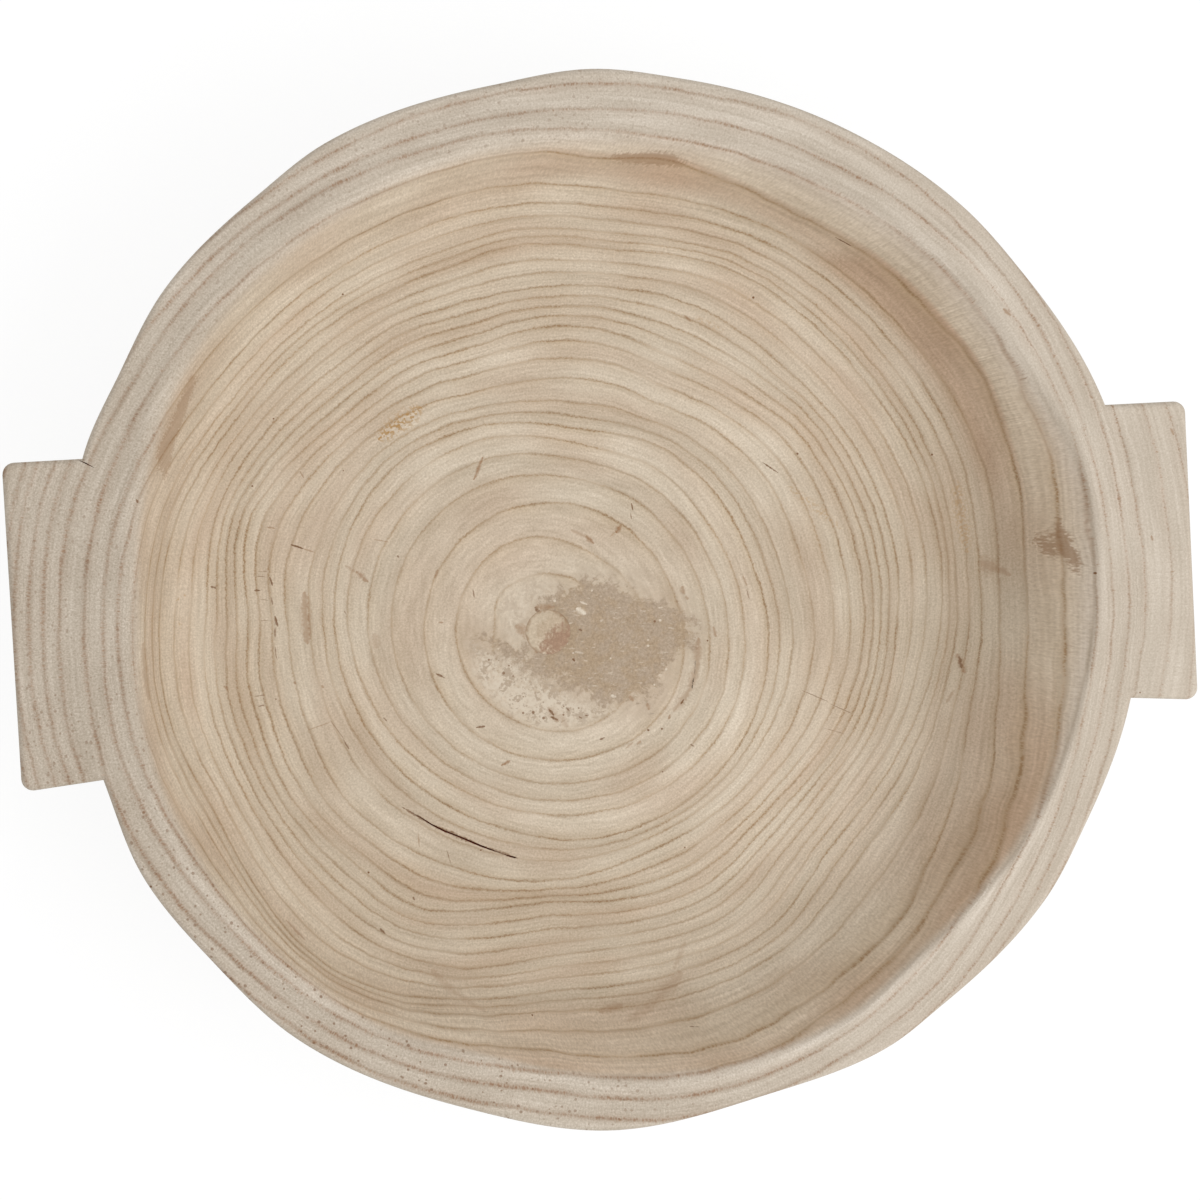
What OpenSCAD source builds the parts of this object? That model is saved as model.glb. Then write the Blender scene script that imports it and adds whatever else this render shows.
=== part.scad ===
// Dough bowl carved from one slice of a tree trunk, with a lug handle on each side.
// Millimetres. +Z is up, the handles lie along X, and the origin is the middle of the flat base.

/* [Bowl] */
// Mean outside diameter at the rim
bowl_d = 408; // [360:1:460]
// Height of the rim above the base
bowl_h = 90; // [80:1:120]
// Mean width of the flat rim
rim_w = 21; // [18:0.5:28]
// Thickness of the floor
floor_t = 24; // [18:1:32]
// Lean of the inner wall from upright, in degrees
wall_lean = 14; // [6:1:20]
// Radius of the cove between the inner wall and the floor
cove_r = 26; // [16:1:32]
// Diameter of the flat base
base_d = 300; // [250:1:330]
// Slope of the outer wall where it meets the base, in degrees from upright
foot_slope = 72; // [50:1:78]
// Rounding of the outer edge of the rim and handles
edge_r = 2.5; // [1:0.25:3]
// Rounding of the inner lip
lip_r = 2.5; // [1:0.25:4]

/* [Hand carving] */
// How far the outside strays from a true circle
outline_stray = 4; // [0:0.5:5]
// How far the inner lip strays from a true circle
lip_stray = 7; // [0:0.5:8]

/* [Handles] */
// Length of the right handle along the rim
right_l = 116; // [90:1:140]
// Shift of the right handle's middle to the left of its own direction
right_shift = 8; // [-15:0.5:15]
// Turn of the right handle from +X, in degrees
right_turn = 2.9; // [-6:0.1:6]
// Length of the left handle along the rim
left_l = 124; // [90:1:140]
// Shift of the left handle's middle to the left of its own direction
left_shift = -4; // [-15:0.5:15]
// Turn of the left handle from -X, in degrees
left_turn = 3.2; // [-6:0.1:6]
// Reach of the right handle beyond the mean outside of the bowl
right_reach = 24; // [18:0.5:34]
// Reach of the left handle beyond the mean outside of the bowl
left_reach = 23; // [18:0.5:34]
// Thickness of the handles at the tip
handle_t = 24; // [16:1:32]
// Drop of the sloping underside from the tip to the root
handle_drop = 5; // [1:0.5:10]
// Corner radius of the handles, seen from above
handle_corner_r = 4.5; // [3.5:0.5:8]
// How much narrower a handle is at its root, on its -Y side
handle_flare = 2; // [0:0.5:5]

/* [Pith plug] */
// Diameter of the drilled-out pith
pith_d = 18; // [10:0.5:24]
// Pith to the right of the middle
pith_x = -18; // [-40:0.5:40]
// Pith behind the middle
pith_y = -14; // [-40:0.5:40]
// Glue gap round the plug
plug_gap = 0.1; // [0.05:0.05:0.3]

/* [Filler] */
// Depth of the filler, on the floor and underneath
filler_t = 1.2; // [0.6:0.1:3]
// Length of the floor patch, along X
patch_l = 91; // [60:1:110]
// Width of the floor patch, along Y
patch_w = 53; // [40:1:70]
// Middle of the floor patch to the right of the pith
patch_x = 14; // [8:0.5:20]
// Middle of the floor patch behind the pith
patch_y = -6.5; // [-12:0.5:0]
// Diameter of the filler under the base
base_patch_d = 40; // [30:1:60]

/* [Hidden] */
$fn = 96;
CUT = 1;
STATION_STEP = 6;
OUTER_STEPS = 8;
EDGE_STEPS = 2;
LIP_STEPS = 3;
COVE_STEPS = 6;
CORNER_STEPS = 3;
FACE_STEPS = 5;
PATCH_SUBSTEPS = 3;
ROOT_HALVINGS = 24;

// Carved outside: [angle, share of outline_stray], anticlockwise from +X
OUTLINE = [
    [6, 1], [24, 0.75], [38, 0.1], [48, 0.15], [64, -0.25], [82, -0.5], [92, -0.1], [103, -0.5],
    [122, 0.35], [131, 0.15], [145, 0.7], [155, 0.4], [164, 0.9], [182, 0.5], [200, 0], [210, 0.5],
    [222, 0], [234, 0.25], [254, -0.6], [270, -0.15], [287, -1], [302, 0], [310, -0.15], [326, 0.5],
    [335, 0.3], [348, 0.75]
];
// Carved lip: [angle, share of lip_stray]
LIP = [
    [0, 0.85], [15, 1], [30, 0.05], [45, -0.15], [60, -0.5], [75, -0.65], [90, -0.7], [105, -0.5],
    [120, -0.35], [135, 0], [150, 0.3], [165, 0.05], [180, -0.3], [195, 0.2], [210, 0.4], [225, 0.35],
    [240, 0.3], [255, -0.35], [270, -0.05], [285, 0.3], [300, 0.35], [311, -0.05], [320, 0.05],
    [330, 0.45], [345, 0.55]
];
// Ragged edge of the floor patch, in shares of its half length and half width
PATCH = [
    [-0.25, 0.84], [-0.05, 0.9], [0.32, 1], [0.7, 0.76], [0.97, 0.38], [1, -0.2], [0.93, -0.8],
    [0.72, -0.97], [0.5, -1], [0.24, -0.86], [-0.12, -0.64], [-0.47, -0.47], [-0.73, -0.25],
    [-0.93, -0.1], [-0.98, 0.1], [-0.74, 0.14], [-0.5, 0.02], [-0.36, 0.25], [-0.39, 0.62]
];

// Value of a smooth closed curve at an angle, through [angle, value] pairs of rising angle
function knot(list, i) =
    let (n = len(list), turns = floor(i / n))
    list[i - turns * n] + [360 * turns, 0];
function knot_slope(list, i) =
    let (gap = knot(list, i + 1) - knot(list, i - 1))
    gap.y / gap.x;
function curve_at(list, angle) =
    let (
        a = angle - 360 * floor(angle / 360),
        i = max([for (k = [-1 : len(list) - 1]) if (knot(list, k).x <= a) k]),
        from = knot(list, i),
        span = knot(list, i + 1) - from,
        t = (a - from.x) / span.x
    )
    from.y + span.y * t * t * (3 - 2 * t)
        + span.x * t * (1 - t) * (knot_slope(list, i) * (1 - t) - knot_slope(list, i + 1) * t);

// Radii of the carved bowl at an angle
function outline_r(angle) = bowl_d / 2 + outline_stray * curve_at(OUTLINE, angle);
function lip_at(angle) = bowl_d / 2 - rim_w + lip_stray * curve_at(LIP, angle);

// A handle's side line: distance from its centre line at a distance out from the bowl's middle
function side_at(side, flare, reach, out) =
    side - sign(side) * flare * (bowl_d / 2 + reach - handle_corner_r - out) / reach;
// Distance out at which a side line leaves the carved bowl, found by halving
function root_at(turn, side, flare, reach, low, high, n) =
    let (
        out = (low + high) / 2,
        point = [out, side_at(side, flare, reach, out)],
        outside = norm(point) > outline_r(turn + atan2(point.y, point.x))
    )
    n == 0 ? point
    : root_at(turn, side, flare, reach, outside ? low : out, outside ? out : high, n - 1);
function handle_root(turn, side, flare, reach) =
    root_at(turn, side, flare, reach, bowl_d / 4, bowl_d / 2 + reach - handle_corner_r, ROOT_HALVINGS);
function handle_corner(side, reach, from) = [
    for (k = [0 : CORNER_STEPS])
        let (a = from + 90 * k / CORNER_STEPS)
        [bowl_d / 2 + reach - handle_corner_r, side - sign(side) * handle_corner_r]
            + handle_corner_r * [cos(a), sin(a)]
];

// Stations round the bowl: [angle, radius of the carved bowl, radius with the handles]
function station(angle, radius) = [angle, outline_r(angle), radius];
function handle_stations(turn, shift, length, reach, low_flare, high_flare) =
    let (
        low = shift - length / 2,
        high = shift + length / 2,
        flat = length - 2 * handle_corner_r,
        face = [
            for (k = [1 : FACE_STEPS - 1])
                [bowl_d / 2 + reach, low + handle_corner_r + flat * k / FACE_STEPS]
        ],
        loop = concat(
            [handle_root(turn, low, low_flare, reach)],
            handle_corner(low, reach, -90),
            face,
            handle_corner(high, reach, 0),
            [handle_root(turn, high, high_flare, reach)]
        )
    )
    [for (p = loop) station(turn + atan2(p.y, p.x), norm(p))];
function rim_stations(from, to) =
    let (n = ceil((to - from) / STATION_STEP))
    [for (k = [1 : n - 1]) let (a = from + (to - from) * k / n) station(a, outline_r(a))];
function last(list) = list[len(list) - 1];

RIGHT = handle_stations(right_turn, right_shift, right_l, right_reach, handle_flare, 0);
LEFT = handle_stations(180 + left_turn, left_shift, left_l, left_reach, 0, handle_flare);
STATIONS = concat(
    RIGHT,
    rim_stations(last(RIGHT)[0], LEFT[0][0]),
    LEFT,
    rim_stations(last(LEFT)[0], 360 + RIGHT[0][0])
);
COUNT = len(STATIONS);

function polar(radius, angle, z) = [radius * cos(angle), radius * sin(angle), z];
TOP_OUTLINE = [for (s = STATIONS) [s[2] * cos(s[0]), s[2] * sin(s[0])]];
function edge_normal(i) =
    let (step = TOP_OUTLINE[(i + 1) % COUNT] - TOP_OUTLINE[i % COUNT])
    [-step.y, step.x] / norm(step);
// The outline with the handles, moved in by a distance, at a height
function inset_ring(inset, z) = [
    for (i = [0 : COUNT - 1])
        let (
            before = edge_normal(i + COUNT - 1),
            after = edge_normal(i),
            p = TOP_OUTLINE[i] + inset * (before + after) / (1 + before * after)
        )
        [p.x, p.y, z]
];

// Outer wall: steep at the root of the handles, curving in to the base
root_z = bowl_h - handle_t - handle_drop;
function outer_ring(k) =
    let (
        a = foot_slope * (1 - k / OUTER_STEPS),
        share = (1 - cos(a)) / (1 - cos(foot_slope)),
        z = root_z * (1 - sin(a) / sin(foot_slope))
    )
    [for (s = STATIONS) polar(s[1] + (base_d / 2 - s[1]) * share, s[0], z)];
function edge_ring(k) =
    let (a = 90 * k / EDGE_STEPS)
    inset_ring(edge_r * (1 - cos(a)), bowl_h - edge_r * (1 - sin(a)));

// Inner wall: [distance in from the lip, height], over the lip, down the wall and round the cove
lip_z = bowl_h - lip_r * (1 - sin(wall_lean));
cove_z = floor_t + cove_r * (1 - sin(wall_lean));
cove_in = (lip_z - cove_z) * tan(wall_lean) + cove_r * cos(wall_lean);
INNER = concat(
    [
        for (k = [0 : LIP_STEPS])
            let (a = 90 - (90 - wall_lean) * k / LIP_STEPS)
            [lip_r * (cos(a) - cos(wall_lean)), bowl_h - lip_r * (1 - sin(a))]
    ],
    [
        for (k = [0 : COVE_STEPS])
            let (a = wall_lean + (90 - wall_lean) * k / COVE_STEPS)
            [cove_in - cove_r * cos(a), floor_t + cove_r * (1 - sin(a))]
    ]
);
function inner_ring(p) = [for (s = STATIONS) polar(lip_at(s[0]) - p[0], s[0], p[1])];

RINGS = concat(
    [for (k = [0 : OUTER_STEPS]) outer_ring(k)],
    [inset_ring(0, bowl_h - handle_t)],
    [for (k = [0 : EDGE_STEPS]) edge_ring(k)],
    [for (p = INNER) inner_ring(p)]
);

// Skin over the rings from the base, over the rim and down to the floor
module carved_blank() {
    last_ring = (len(RINGS) - 1) * COUNT;
    sides = [
        for (k = [0 : len(RINGS) - 2], i = [0 : COUNT - 1])
            let (
                j = (i + 1) % COUNT,
                low = k * COUNT,
                high = low + COUNT
            )
            each [[low + i, high + i, high + j], [low + i, high + j, low + j]]
    ];
    base = [for (i = [0 : COUNT - 1]) i];
    floor_face = [for (i = [COUNT - 1 : -1 : 0]) last_ring + i];
    polyhedron(points = [for (ring = RINGS) each ring], faces = concat(sides, [base, floor_face]));
}

// Closed smooth outline through hand-chosen points
function smooth_loop(points) =
    let (n = len(points))
    [
        for (i = [0 : n - 1], k = [0 : PATCH_SUBSTEPS - 1])
            let (
                t = k / PATCH_SUBSTEPS,
                p0 = points[(i + n - 1) % n],
                p1 = points[i],
                p2 = points[(i + 1) % n],
                p3 = points[(i + 2) % n]
            )
            p1 + ((p2 - p0) * t + (2 * p0 - 5 * p1 + 4 * p2 - p3) * t ^ 2
                + (3 * p1 - p0 - 3 * p2 + p3) * t ^ 3) / 2
    ];
PATCH_LOOP = smooth_loop([for (p = PATCH) [p.x * patch_l / 2, p.y * patch_w / 2]]);

module at_pith(z) {
    translate([pith_x, pith_y, z]) children();
}

module patch_block(height) {
    translate([patch_x, patch_y, 0]) linear_extrude(height) polygon(PATCH_LOOP);
}

// Bowl, rim and both handles, all one piece of wood
module bowl_body() {
    color([0.78, 0.71, 0.62])
        difference() {
            carved_blank();
            at_pith(-CUT) cylinder(d = pith_d, h = floor_t + 2 * CUT);
            at_pith(-CUT) cylinder(d = base_patch_d, h = filler_t + CUT);
            at_pith(floor_t - filler_t) patch_block(filler_t + CUT);
        }
}

// Wooden plug glued into the drilled-out pith, flush with the floor
module pith_plug() {
    color([0.74, 0.62, 0.5])
        at_pith(filler_t) cylinder(d = pith_d - 2 * plug_gap, h = floor_t - filler_t);
}

// Wood filler spread round the plug, level with the floor
module floor_filler() {
    color([0.66, 0.58, 0.49])
        at_pith(floor_t - filler_t)
            difference() {
                patch_block(filler_t);
                translate([0, 0, -CUT]) cylinder(d = pith_d, h = filler_t + 2 * CUT);
            }
}

// Wood filler over the plug's other end, level with the base
module base_filler() {
    color([0.66, 0.58, 0.49])
        at_pith(0) cylinder(d = base_patch_d, h = filler_t);
}

bowl_body();
pith_plug();
floor_filler();
base_filler();
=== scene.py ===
"""Dough bowl carved from one slice of a tree trunk: a flat rim, two lug handles and a plugged pith.

Lengths are in millimetres in this script and become metres when a mesh is made. The frame is the CAD
model's: +X along the handles, +Z up, origin in the middle of the base.

The places of growth rings, marks, stains, filler and cracks were read on the photo as pixels. They were
turned into millimetres and angles outside this script, where the outline and the lip were measured too.
"""
import math

import bpy
import numpy as np
from mathutils import Matrix, Vector, geometry, noise


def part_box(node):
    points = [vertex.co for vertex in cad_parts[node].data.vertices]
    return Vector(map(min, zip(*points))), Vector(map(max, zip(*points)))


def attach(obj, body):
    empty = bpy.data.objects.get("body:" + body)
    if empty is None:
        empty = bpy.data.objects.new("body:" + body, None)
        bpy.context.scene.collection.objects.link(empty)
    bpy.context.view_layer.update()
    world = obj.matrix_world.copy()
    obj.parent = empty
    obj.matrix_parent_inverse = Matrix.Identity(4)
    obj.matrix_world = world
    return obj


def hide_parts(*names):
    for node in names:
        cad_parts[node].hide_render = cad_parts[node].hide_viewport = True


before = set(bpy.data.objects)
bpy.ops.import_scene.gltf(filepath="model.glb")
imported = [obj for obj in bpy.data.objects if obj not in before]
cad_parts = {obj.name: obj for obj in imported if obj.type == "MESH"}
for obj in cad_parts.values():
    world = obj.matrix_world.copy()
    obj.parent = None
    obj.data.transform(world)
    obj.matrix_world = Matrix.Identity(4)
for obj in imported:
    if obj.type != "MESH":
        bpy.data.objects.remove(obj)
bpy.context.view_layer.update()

MM = 0.001


def node_box(node):
    """Lowest and highest corner of a CAD node, in millimetres."""
    low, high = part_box(node)
    return np.array(low) / MM, np.array(high) / MM


# Sizes and places taken from the frame
body_high = node_box("bowl_body")[1]
plug_low, plug_high = node_box("pith_plug")
under_low, under_high = node_box("base_filler")
BOWL_H = body_high[2]
FLOOR_Z = plug_high[2]
PITH = (plug_low + plug_high)[:2] / 2
PLUG_R = (plug_high - plug_low)[0] / 2
FILLER_T = under_high[2]
UNDER_R = (under_high - under_low)[0] / 2

# Carved form, as in the CAD model
BOWL_R = 204
RIM_W = 21
WALL_LEAN = math.radians(14)
COVE_R = 26
BASE_R = 150
FOOT_SLOPE = math.radians(72)
EDGE_R = 2.5
LIP_R = 2.5
OUTLINE_STRAY = 4
LIP_STRAY = 7
HANDLE_T = 24
HANDLE_DROP = 5
CORNER_R = 4.5
FLARE = 2
GLUE_GAP = 0.1
BORE_R = PLUG_R + GLUE_GAP
# Handles: turn in degrees, shift and length along the rim, reach, flare of the low and the high side
RIGHT_HANDLE = (2.9, 8, 116, 24, FLARE, 0)
LEFT_HANDLE = (183.2, -4, 124, 23, 0, FLARE)
# Carved outside and lip: angle and share of the stray
OUTLINE = {
    6: 1, 24: 0.75, 38: 0.1, 48: 0.15, 64: -0.25, 82: -0.5, 92: -0.1, 103: -0.5, 122: 0.35, 131: 0.15,
    145: 0.7, 155: 0.4, 164: 0.9, 182: 0.5, 200: 0, 210: 0.5, 222: 0, 234: 0.25, 254: -0.6, 270: -0.15,
    287: -1, 302: 0, 310: -0.15, 326: 0.5, 335: 0.3, 348: 0.75,
}
LIP = {
    0: 0.85, 15: 1, 30: 0.05, 45: -0.15, 60: -0.5, 75: -0.65, 90: -0.7, 105: -0.5, 120: -0.35, 135: 0,
    150: 0.3, 165: 0.05, 180: -0.3, 195: 0.2, 210: 0.4, 225: 0.35, 240: 0.3, 255: -0.35, 270: -0.05,
    285: 0.3, 300: 0.35, 311: -0.05, 320: 0.05, 330: 0.45, 345: 0.55,
}
# Rounding of the lip, softest at the back: angle and radius
LIP_ROUND = {0: 3, 25: 6, 50: 8, 90: 10, 130: 8, 165: 6, 200: 5, 240: 5, 270: 5, 300: 3, 330: 2.5}
# Ragged filler patch, in shares of its half length and half width, about its middle
PATCH_HALF = np.array([45.5, 26.5])
PATCH_SHIFT = np.array([14, -6.5])
PATCH = [
    [-0.25, 0.84], [-0.05, 0.9], [0.32, 1], [0.7, 0.76], [0.97, 0.38], [1, -0.2], [0.93, -0.8],
    [0.72, -0.97], [0.5, -1], [0.24, -0.86], [-0.12, -0.64], [-0.47, -0.47], [-0.73, -0.25],
    [-0.93, -0.1], [-0.98, 0.1], [-0.74, 0.14], [-0.5, 0.02], [-0.36, 0.25], [-0.39, 0.62],
]

# Part of the patch that the filler covers well, about the pith
FILLER_LOOK = [
    [-3, 11.5], [0.5, 14], [5, 17.5], [12, 21], [21.5, 21], [31.5, 17], [38.5, 15], [46.5, 11], [55, 9],
    [58.5, 3.5], [59.5, -1.5], [57.5, -7.5], [51.5, -9.5], [50, -15], [46.5, -19.5], [43.5, -23],
    [38.5, -27], [32.5, -29], [26.5, -28], [21, -29], [16.5, -26.5], [8, -22], [-0.5, -19.5], [-8, -15.5],
    [-15, -10.5], [-24, -5.5], [-30, -3.5], [-29, 0], [-22, -1], [-16, -3.5], [-11, -6], [-7, -9.5],
    [-1, -5.5], [2, 2.5], [-1, 8.5],
]

# Chalky wood beside the filler, about the pith, and how strongly it shows
CHALK = [
    ([
        [-31, -4.5], [-28.5, -9.5], [-30, -15.5], [-26, -21.5], [-20.5, -27.5], [-14, -32.5], [-5.5, -37],
        [4.5, -37.5], [14, -36], [21.5, -34], [26.5, -31], [12, -28], [2, -22], [-6.5, -17], [-13, -12],
        [-21.5, -9.5],
    ], 1),
    ([
        [-20.5, 16], [-15, 20], [-6.5, 21.5], [2, 20], [0.5, 15], [-6.5, 7.5], [-10.5, -1], [-17.5, 0.5],
        [-20.5, 7.5],
    ], 0.45),
]

# Growth rings about the pith: ring number, then its outline by angle and radius
TRUNK_TILT = math.tan(math.radians(5.4))
KEY_RINGS = {
    1: {0: 23.5, 60: 23.5, 110: 23.3, 140: 24.3, 180: 21.6, 222: 25.6, 268: 24.2, 300: 24},
    2: {20: 38.5, 60: 35.8, 110: 38.8, 175: 36.8, 240: 37.3, 300: 41.5},
    3: {0: 54.5, 25: 52.5, 75: 52, 130: 50.7, 180: 49.4, 240: 50, 280: 52, 310: 55, 335: 56.5},
    6: {
        0: 79, 35: 77.6, 55: 78, 80: 76, 110: 81, 145: 82.6, 170: 81, 200: 76, 240: 71.6, 275: 73.5,
        310: 78.5, 335: 80.7,
    },
    7: {
        0: 89, 20: 86.8, 50: 87.2, 65: 85.5, 82: 82, 110: 87, 133: 90, 160: 87.8, 185: 84.3, 220: 80.7,
        245: 80, 260: 81, 285: 85.5, 310: 88.2, 330: 90,
    },
    10: {
        0: 107.5, 15: 106, 35: 107, 52: 104.5, 65: 101, 75: 102.3, 105: 99.8, 120: 103, 140: 106.2,
        165: 107.8, 180: 103.5, 205: 103, 220: 104.5, 245: 101.5, 270: 99.8, 295: 97, 310: 99, 330: 103,
        342: 105.7,
    },
    13: {
        0: 127.8, 30: 128.7, 40: 128, 48: 124.5, 65: 120.5, 80: 122.3, 90: 121.7, 105: 117.3, 115: 118.5,
        133: 118.2, 150: 123.5, 160: 126.7, 177: 119.3, 190: 121, 200: 120.5, 212: 121.5, 230: 119.8,
        245: 121.3, 257: 113.5, 270: 108, 285: 111.2, 300: 114.5, 318: 113.8, 330: 116.8, 345: 124,
    },
    17: {
        0: 140.7, 12: 143.5, 30: 143.8, 50: 142, 65: 142.7, 80: 139.5, 105: 135, 115: 136, 130: 135,
        160: 139.5, 175: 136, 190: 137.3, 212: 136.5, 225: 139, 240: 141.7, 255: 138.5, 268: 131,
        280: 129.3, 300: 134.7, 306: 134.3, 317: 130.2, 330: 131.5, 345: 138,
    },
    20: {
        0: 159, 20: 163, 40: 162.7, 62: 162.6, 80: 155, 95: 154.3, 107: 150, 130: 149.8, 145: 150,
        168: 156, 190: 156.3, 208: 151.3, 230: 158, 242: 156.3, 258: 148.5, 272: 143.5, 290: 146.3,
        307: 149.5, 323: 143.6, 340: 150,
    },
    24: {
        0: 175.5, 10: 176.5, 22: 180.2, 40: 180, 60: 177.8, 80: 171, 95: 170, 115: 167, 140: 165.5,
        150: 168, 163: 175.5, 190: 174.3, 212: 168, 225: 167, 240: 165.7, 263: 160.7, 280: 166.5,
        292: 171.3, 308: 174.3, 335: 176.5, 349: 173.5,
    },
    25: {
        4: 182.4, 20: 187.1, 40: 185.9, 60: 183.1, 82: 177, 95: 177.5, 112: 175, 140: 175.4, 165: 181.5,
        180: 180.9, 195: 180, 215: 173.6, 240: 170.4, 264: 166.5, 285: 173.6, 300: 177, 315: 178,
        325: 179.2, 335: 183.4, 342: 184.4, 350: 182.6,
    },
    26: {
        0: 190.8, 8: 192.2, 18: 196.2, 24: 196, 36: 194.5, 49: 192.5, 60: 189.8, 71: 188.5, 79: 188.7,
        86: 186, 94: 187.4, 103: 186.6, 114: 185.8, 127: 187, 143: 187.9, 160: 189, 168: 189.5, 180: 188,
        198: 186.4, 210: 183.6, 222: 179.4, 235: 177.6, 247: 176, 260: 173.5, 268: 174.5, 280: 180,
        291: 183, 305: 184.6, 317: 184, 324: 183.5, 333: 186.8, 345: 188.7, 355: 189.7,
    },
    27: {
        2: 196.9, 11: 199.7, 19: 202, 28: 200, 42: 200.6, 52: 199.3, 60: 197.5, 69: 196.2, 79: 194.7,
        88: 194.5, 97: 195.3, 110: 195.6, 124: 196.6, 139: 196.6, 150: 195.6, 165: 199, 180: 197.8,
        195: 196.3, 212: 190, 229: 184, 239: 183.6, 260: 181.3, 272: 184.1, 282: 189, 300: 191.5,
        317: 193.2, 329: 190.6, 340: 192, 350: 194,
    },
    28: {
        2: 201.7, 9: 203, 17: 205.6, 28: 208, 41: 209.3, 52: 208.5, 63: 206, 75: 204.6, 88: 202.3,
        101: 201.2, 115: 200.7, 130: 200.8, 145: 202, 164: 205.2, 180: 203.6, 195: 201.5, 215: 196,
        229: 191, 245: 190, 262: 192, 280: 197, 300: 199.5, 317: 199.5, 330: 198, 345: 198, 353: 198.9,
    },
    29: {
        1: 207.6, 9: 209, 20: 211.2, 32: 214.2, 44: 216, 55: 217, 65: 216.5, 77: 213.4, 88: 211.9,
        100: 209.6, 113: 207.8, 126: 206.6, 140: 207.5, 164: 210.1, 180: 208.7, 190: 207.2, 215: 202,
        245: 198, 275: 201, 300: 205, 330: 203.5, 345: 204, 353: 205.6,
    },
    30: {
        2: 214.3, 10: 215.6, 19: 218.3, 30: 220.2, 44: 223, 65: 223, 90: 219, 125: 213, 150: 213.5,
        165: 216.7, 176: 214.7, 200: 212, 230: 206, 264: 204, 300: 210, 330: 208.5, 353: 211.3,
    },
    31: {
        4: 221, 12: 222.2, 23: 224.8, 45: 229, 90: 226, 130: 219, 165: 219.9, 180: 218.5, 215: 213,
        264: 210, 310: 215, 353: 217,
    },
    32: {
        3: 231.4, 12: 233.5, 22: 236.8, 60: 238, 120: 228, 170: 226.5, 200: 222, 264: 218, 320: 222,
        354: 227.3,
    },
    33: {
        3: 241, 13: 243.8, 22: 245.5, 60: 247, 120: 237, 170: 234, 200: 230, 264: 226, 320: 230, 350: 238,
    },
}
# Rings between two key rings: share of the way out
RING_SHARES = {
    4: 0.43, 5: 0.74, 8: 0.24, 9: 0.51, 11: 0.39, 12: 0.72, 14: 0.26, 15: 0.5, 16: 0.75, 18: 0.33,
    19: 0.63, 21: 0.18, 22: 0.37, 23: 0.69,
}
# Pith at the start, and evenly spaced rings outside the last key ring
PITH_RING_R = 11
LAST_RING = 36
OUTER_RING_W = 8.5
# Darkness of each ring's line, from the pith outwards
RING_INK = [
    0.3, 0.75, 0.8, 0.9, 0.75, 0.7, 0.75, 1, 0.7, 0.6, 0.85, 0.85, 0.85, 1, 0.8, 0.85, 0.7, 0.85, 0.55,
    0.6, 0.85, 0.7, 0.75, 0.65, 0.95, 0.85, 1, 0.9, 0.85, 0.85, 0.8, 0.8, 0.8, 0.8, 0.8, 0.8, 0.8,
]
# Lightness of the wood between each ring and the next, from -1 to 1
RING_TONE = [
    0.4, 0.8, 0.6, 0.1, -0.4, 0.6, 0.9, -0.5, -0.2, 0.1, 0.2, 0.2, 0.2, 0, 0.1, -0.1, 0.2, 0.1, 0.5, 0.2,
    -0.1, 0.1, 0.2, 0, 0.1, -0.3, -0.2, 0.1, 0.2, 0, 0.1, 0.1, 0.1, 0.1, 0.1, 0.1,
]

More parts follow.
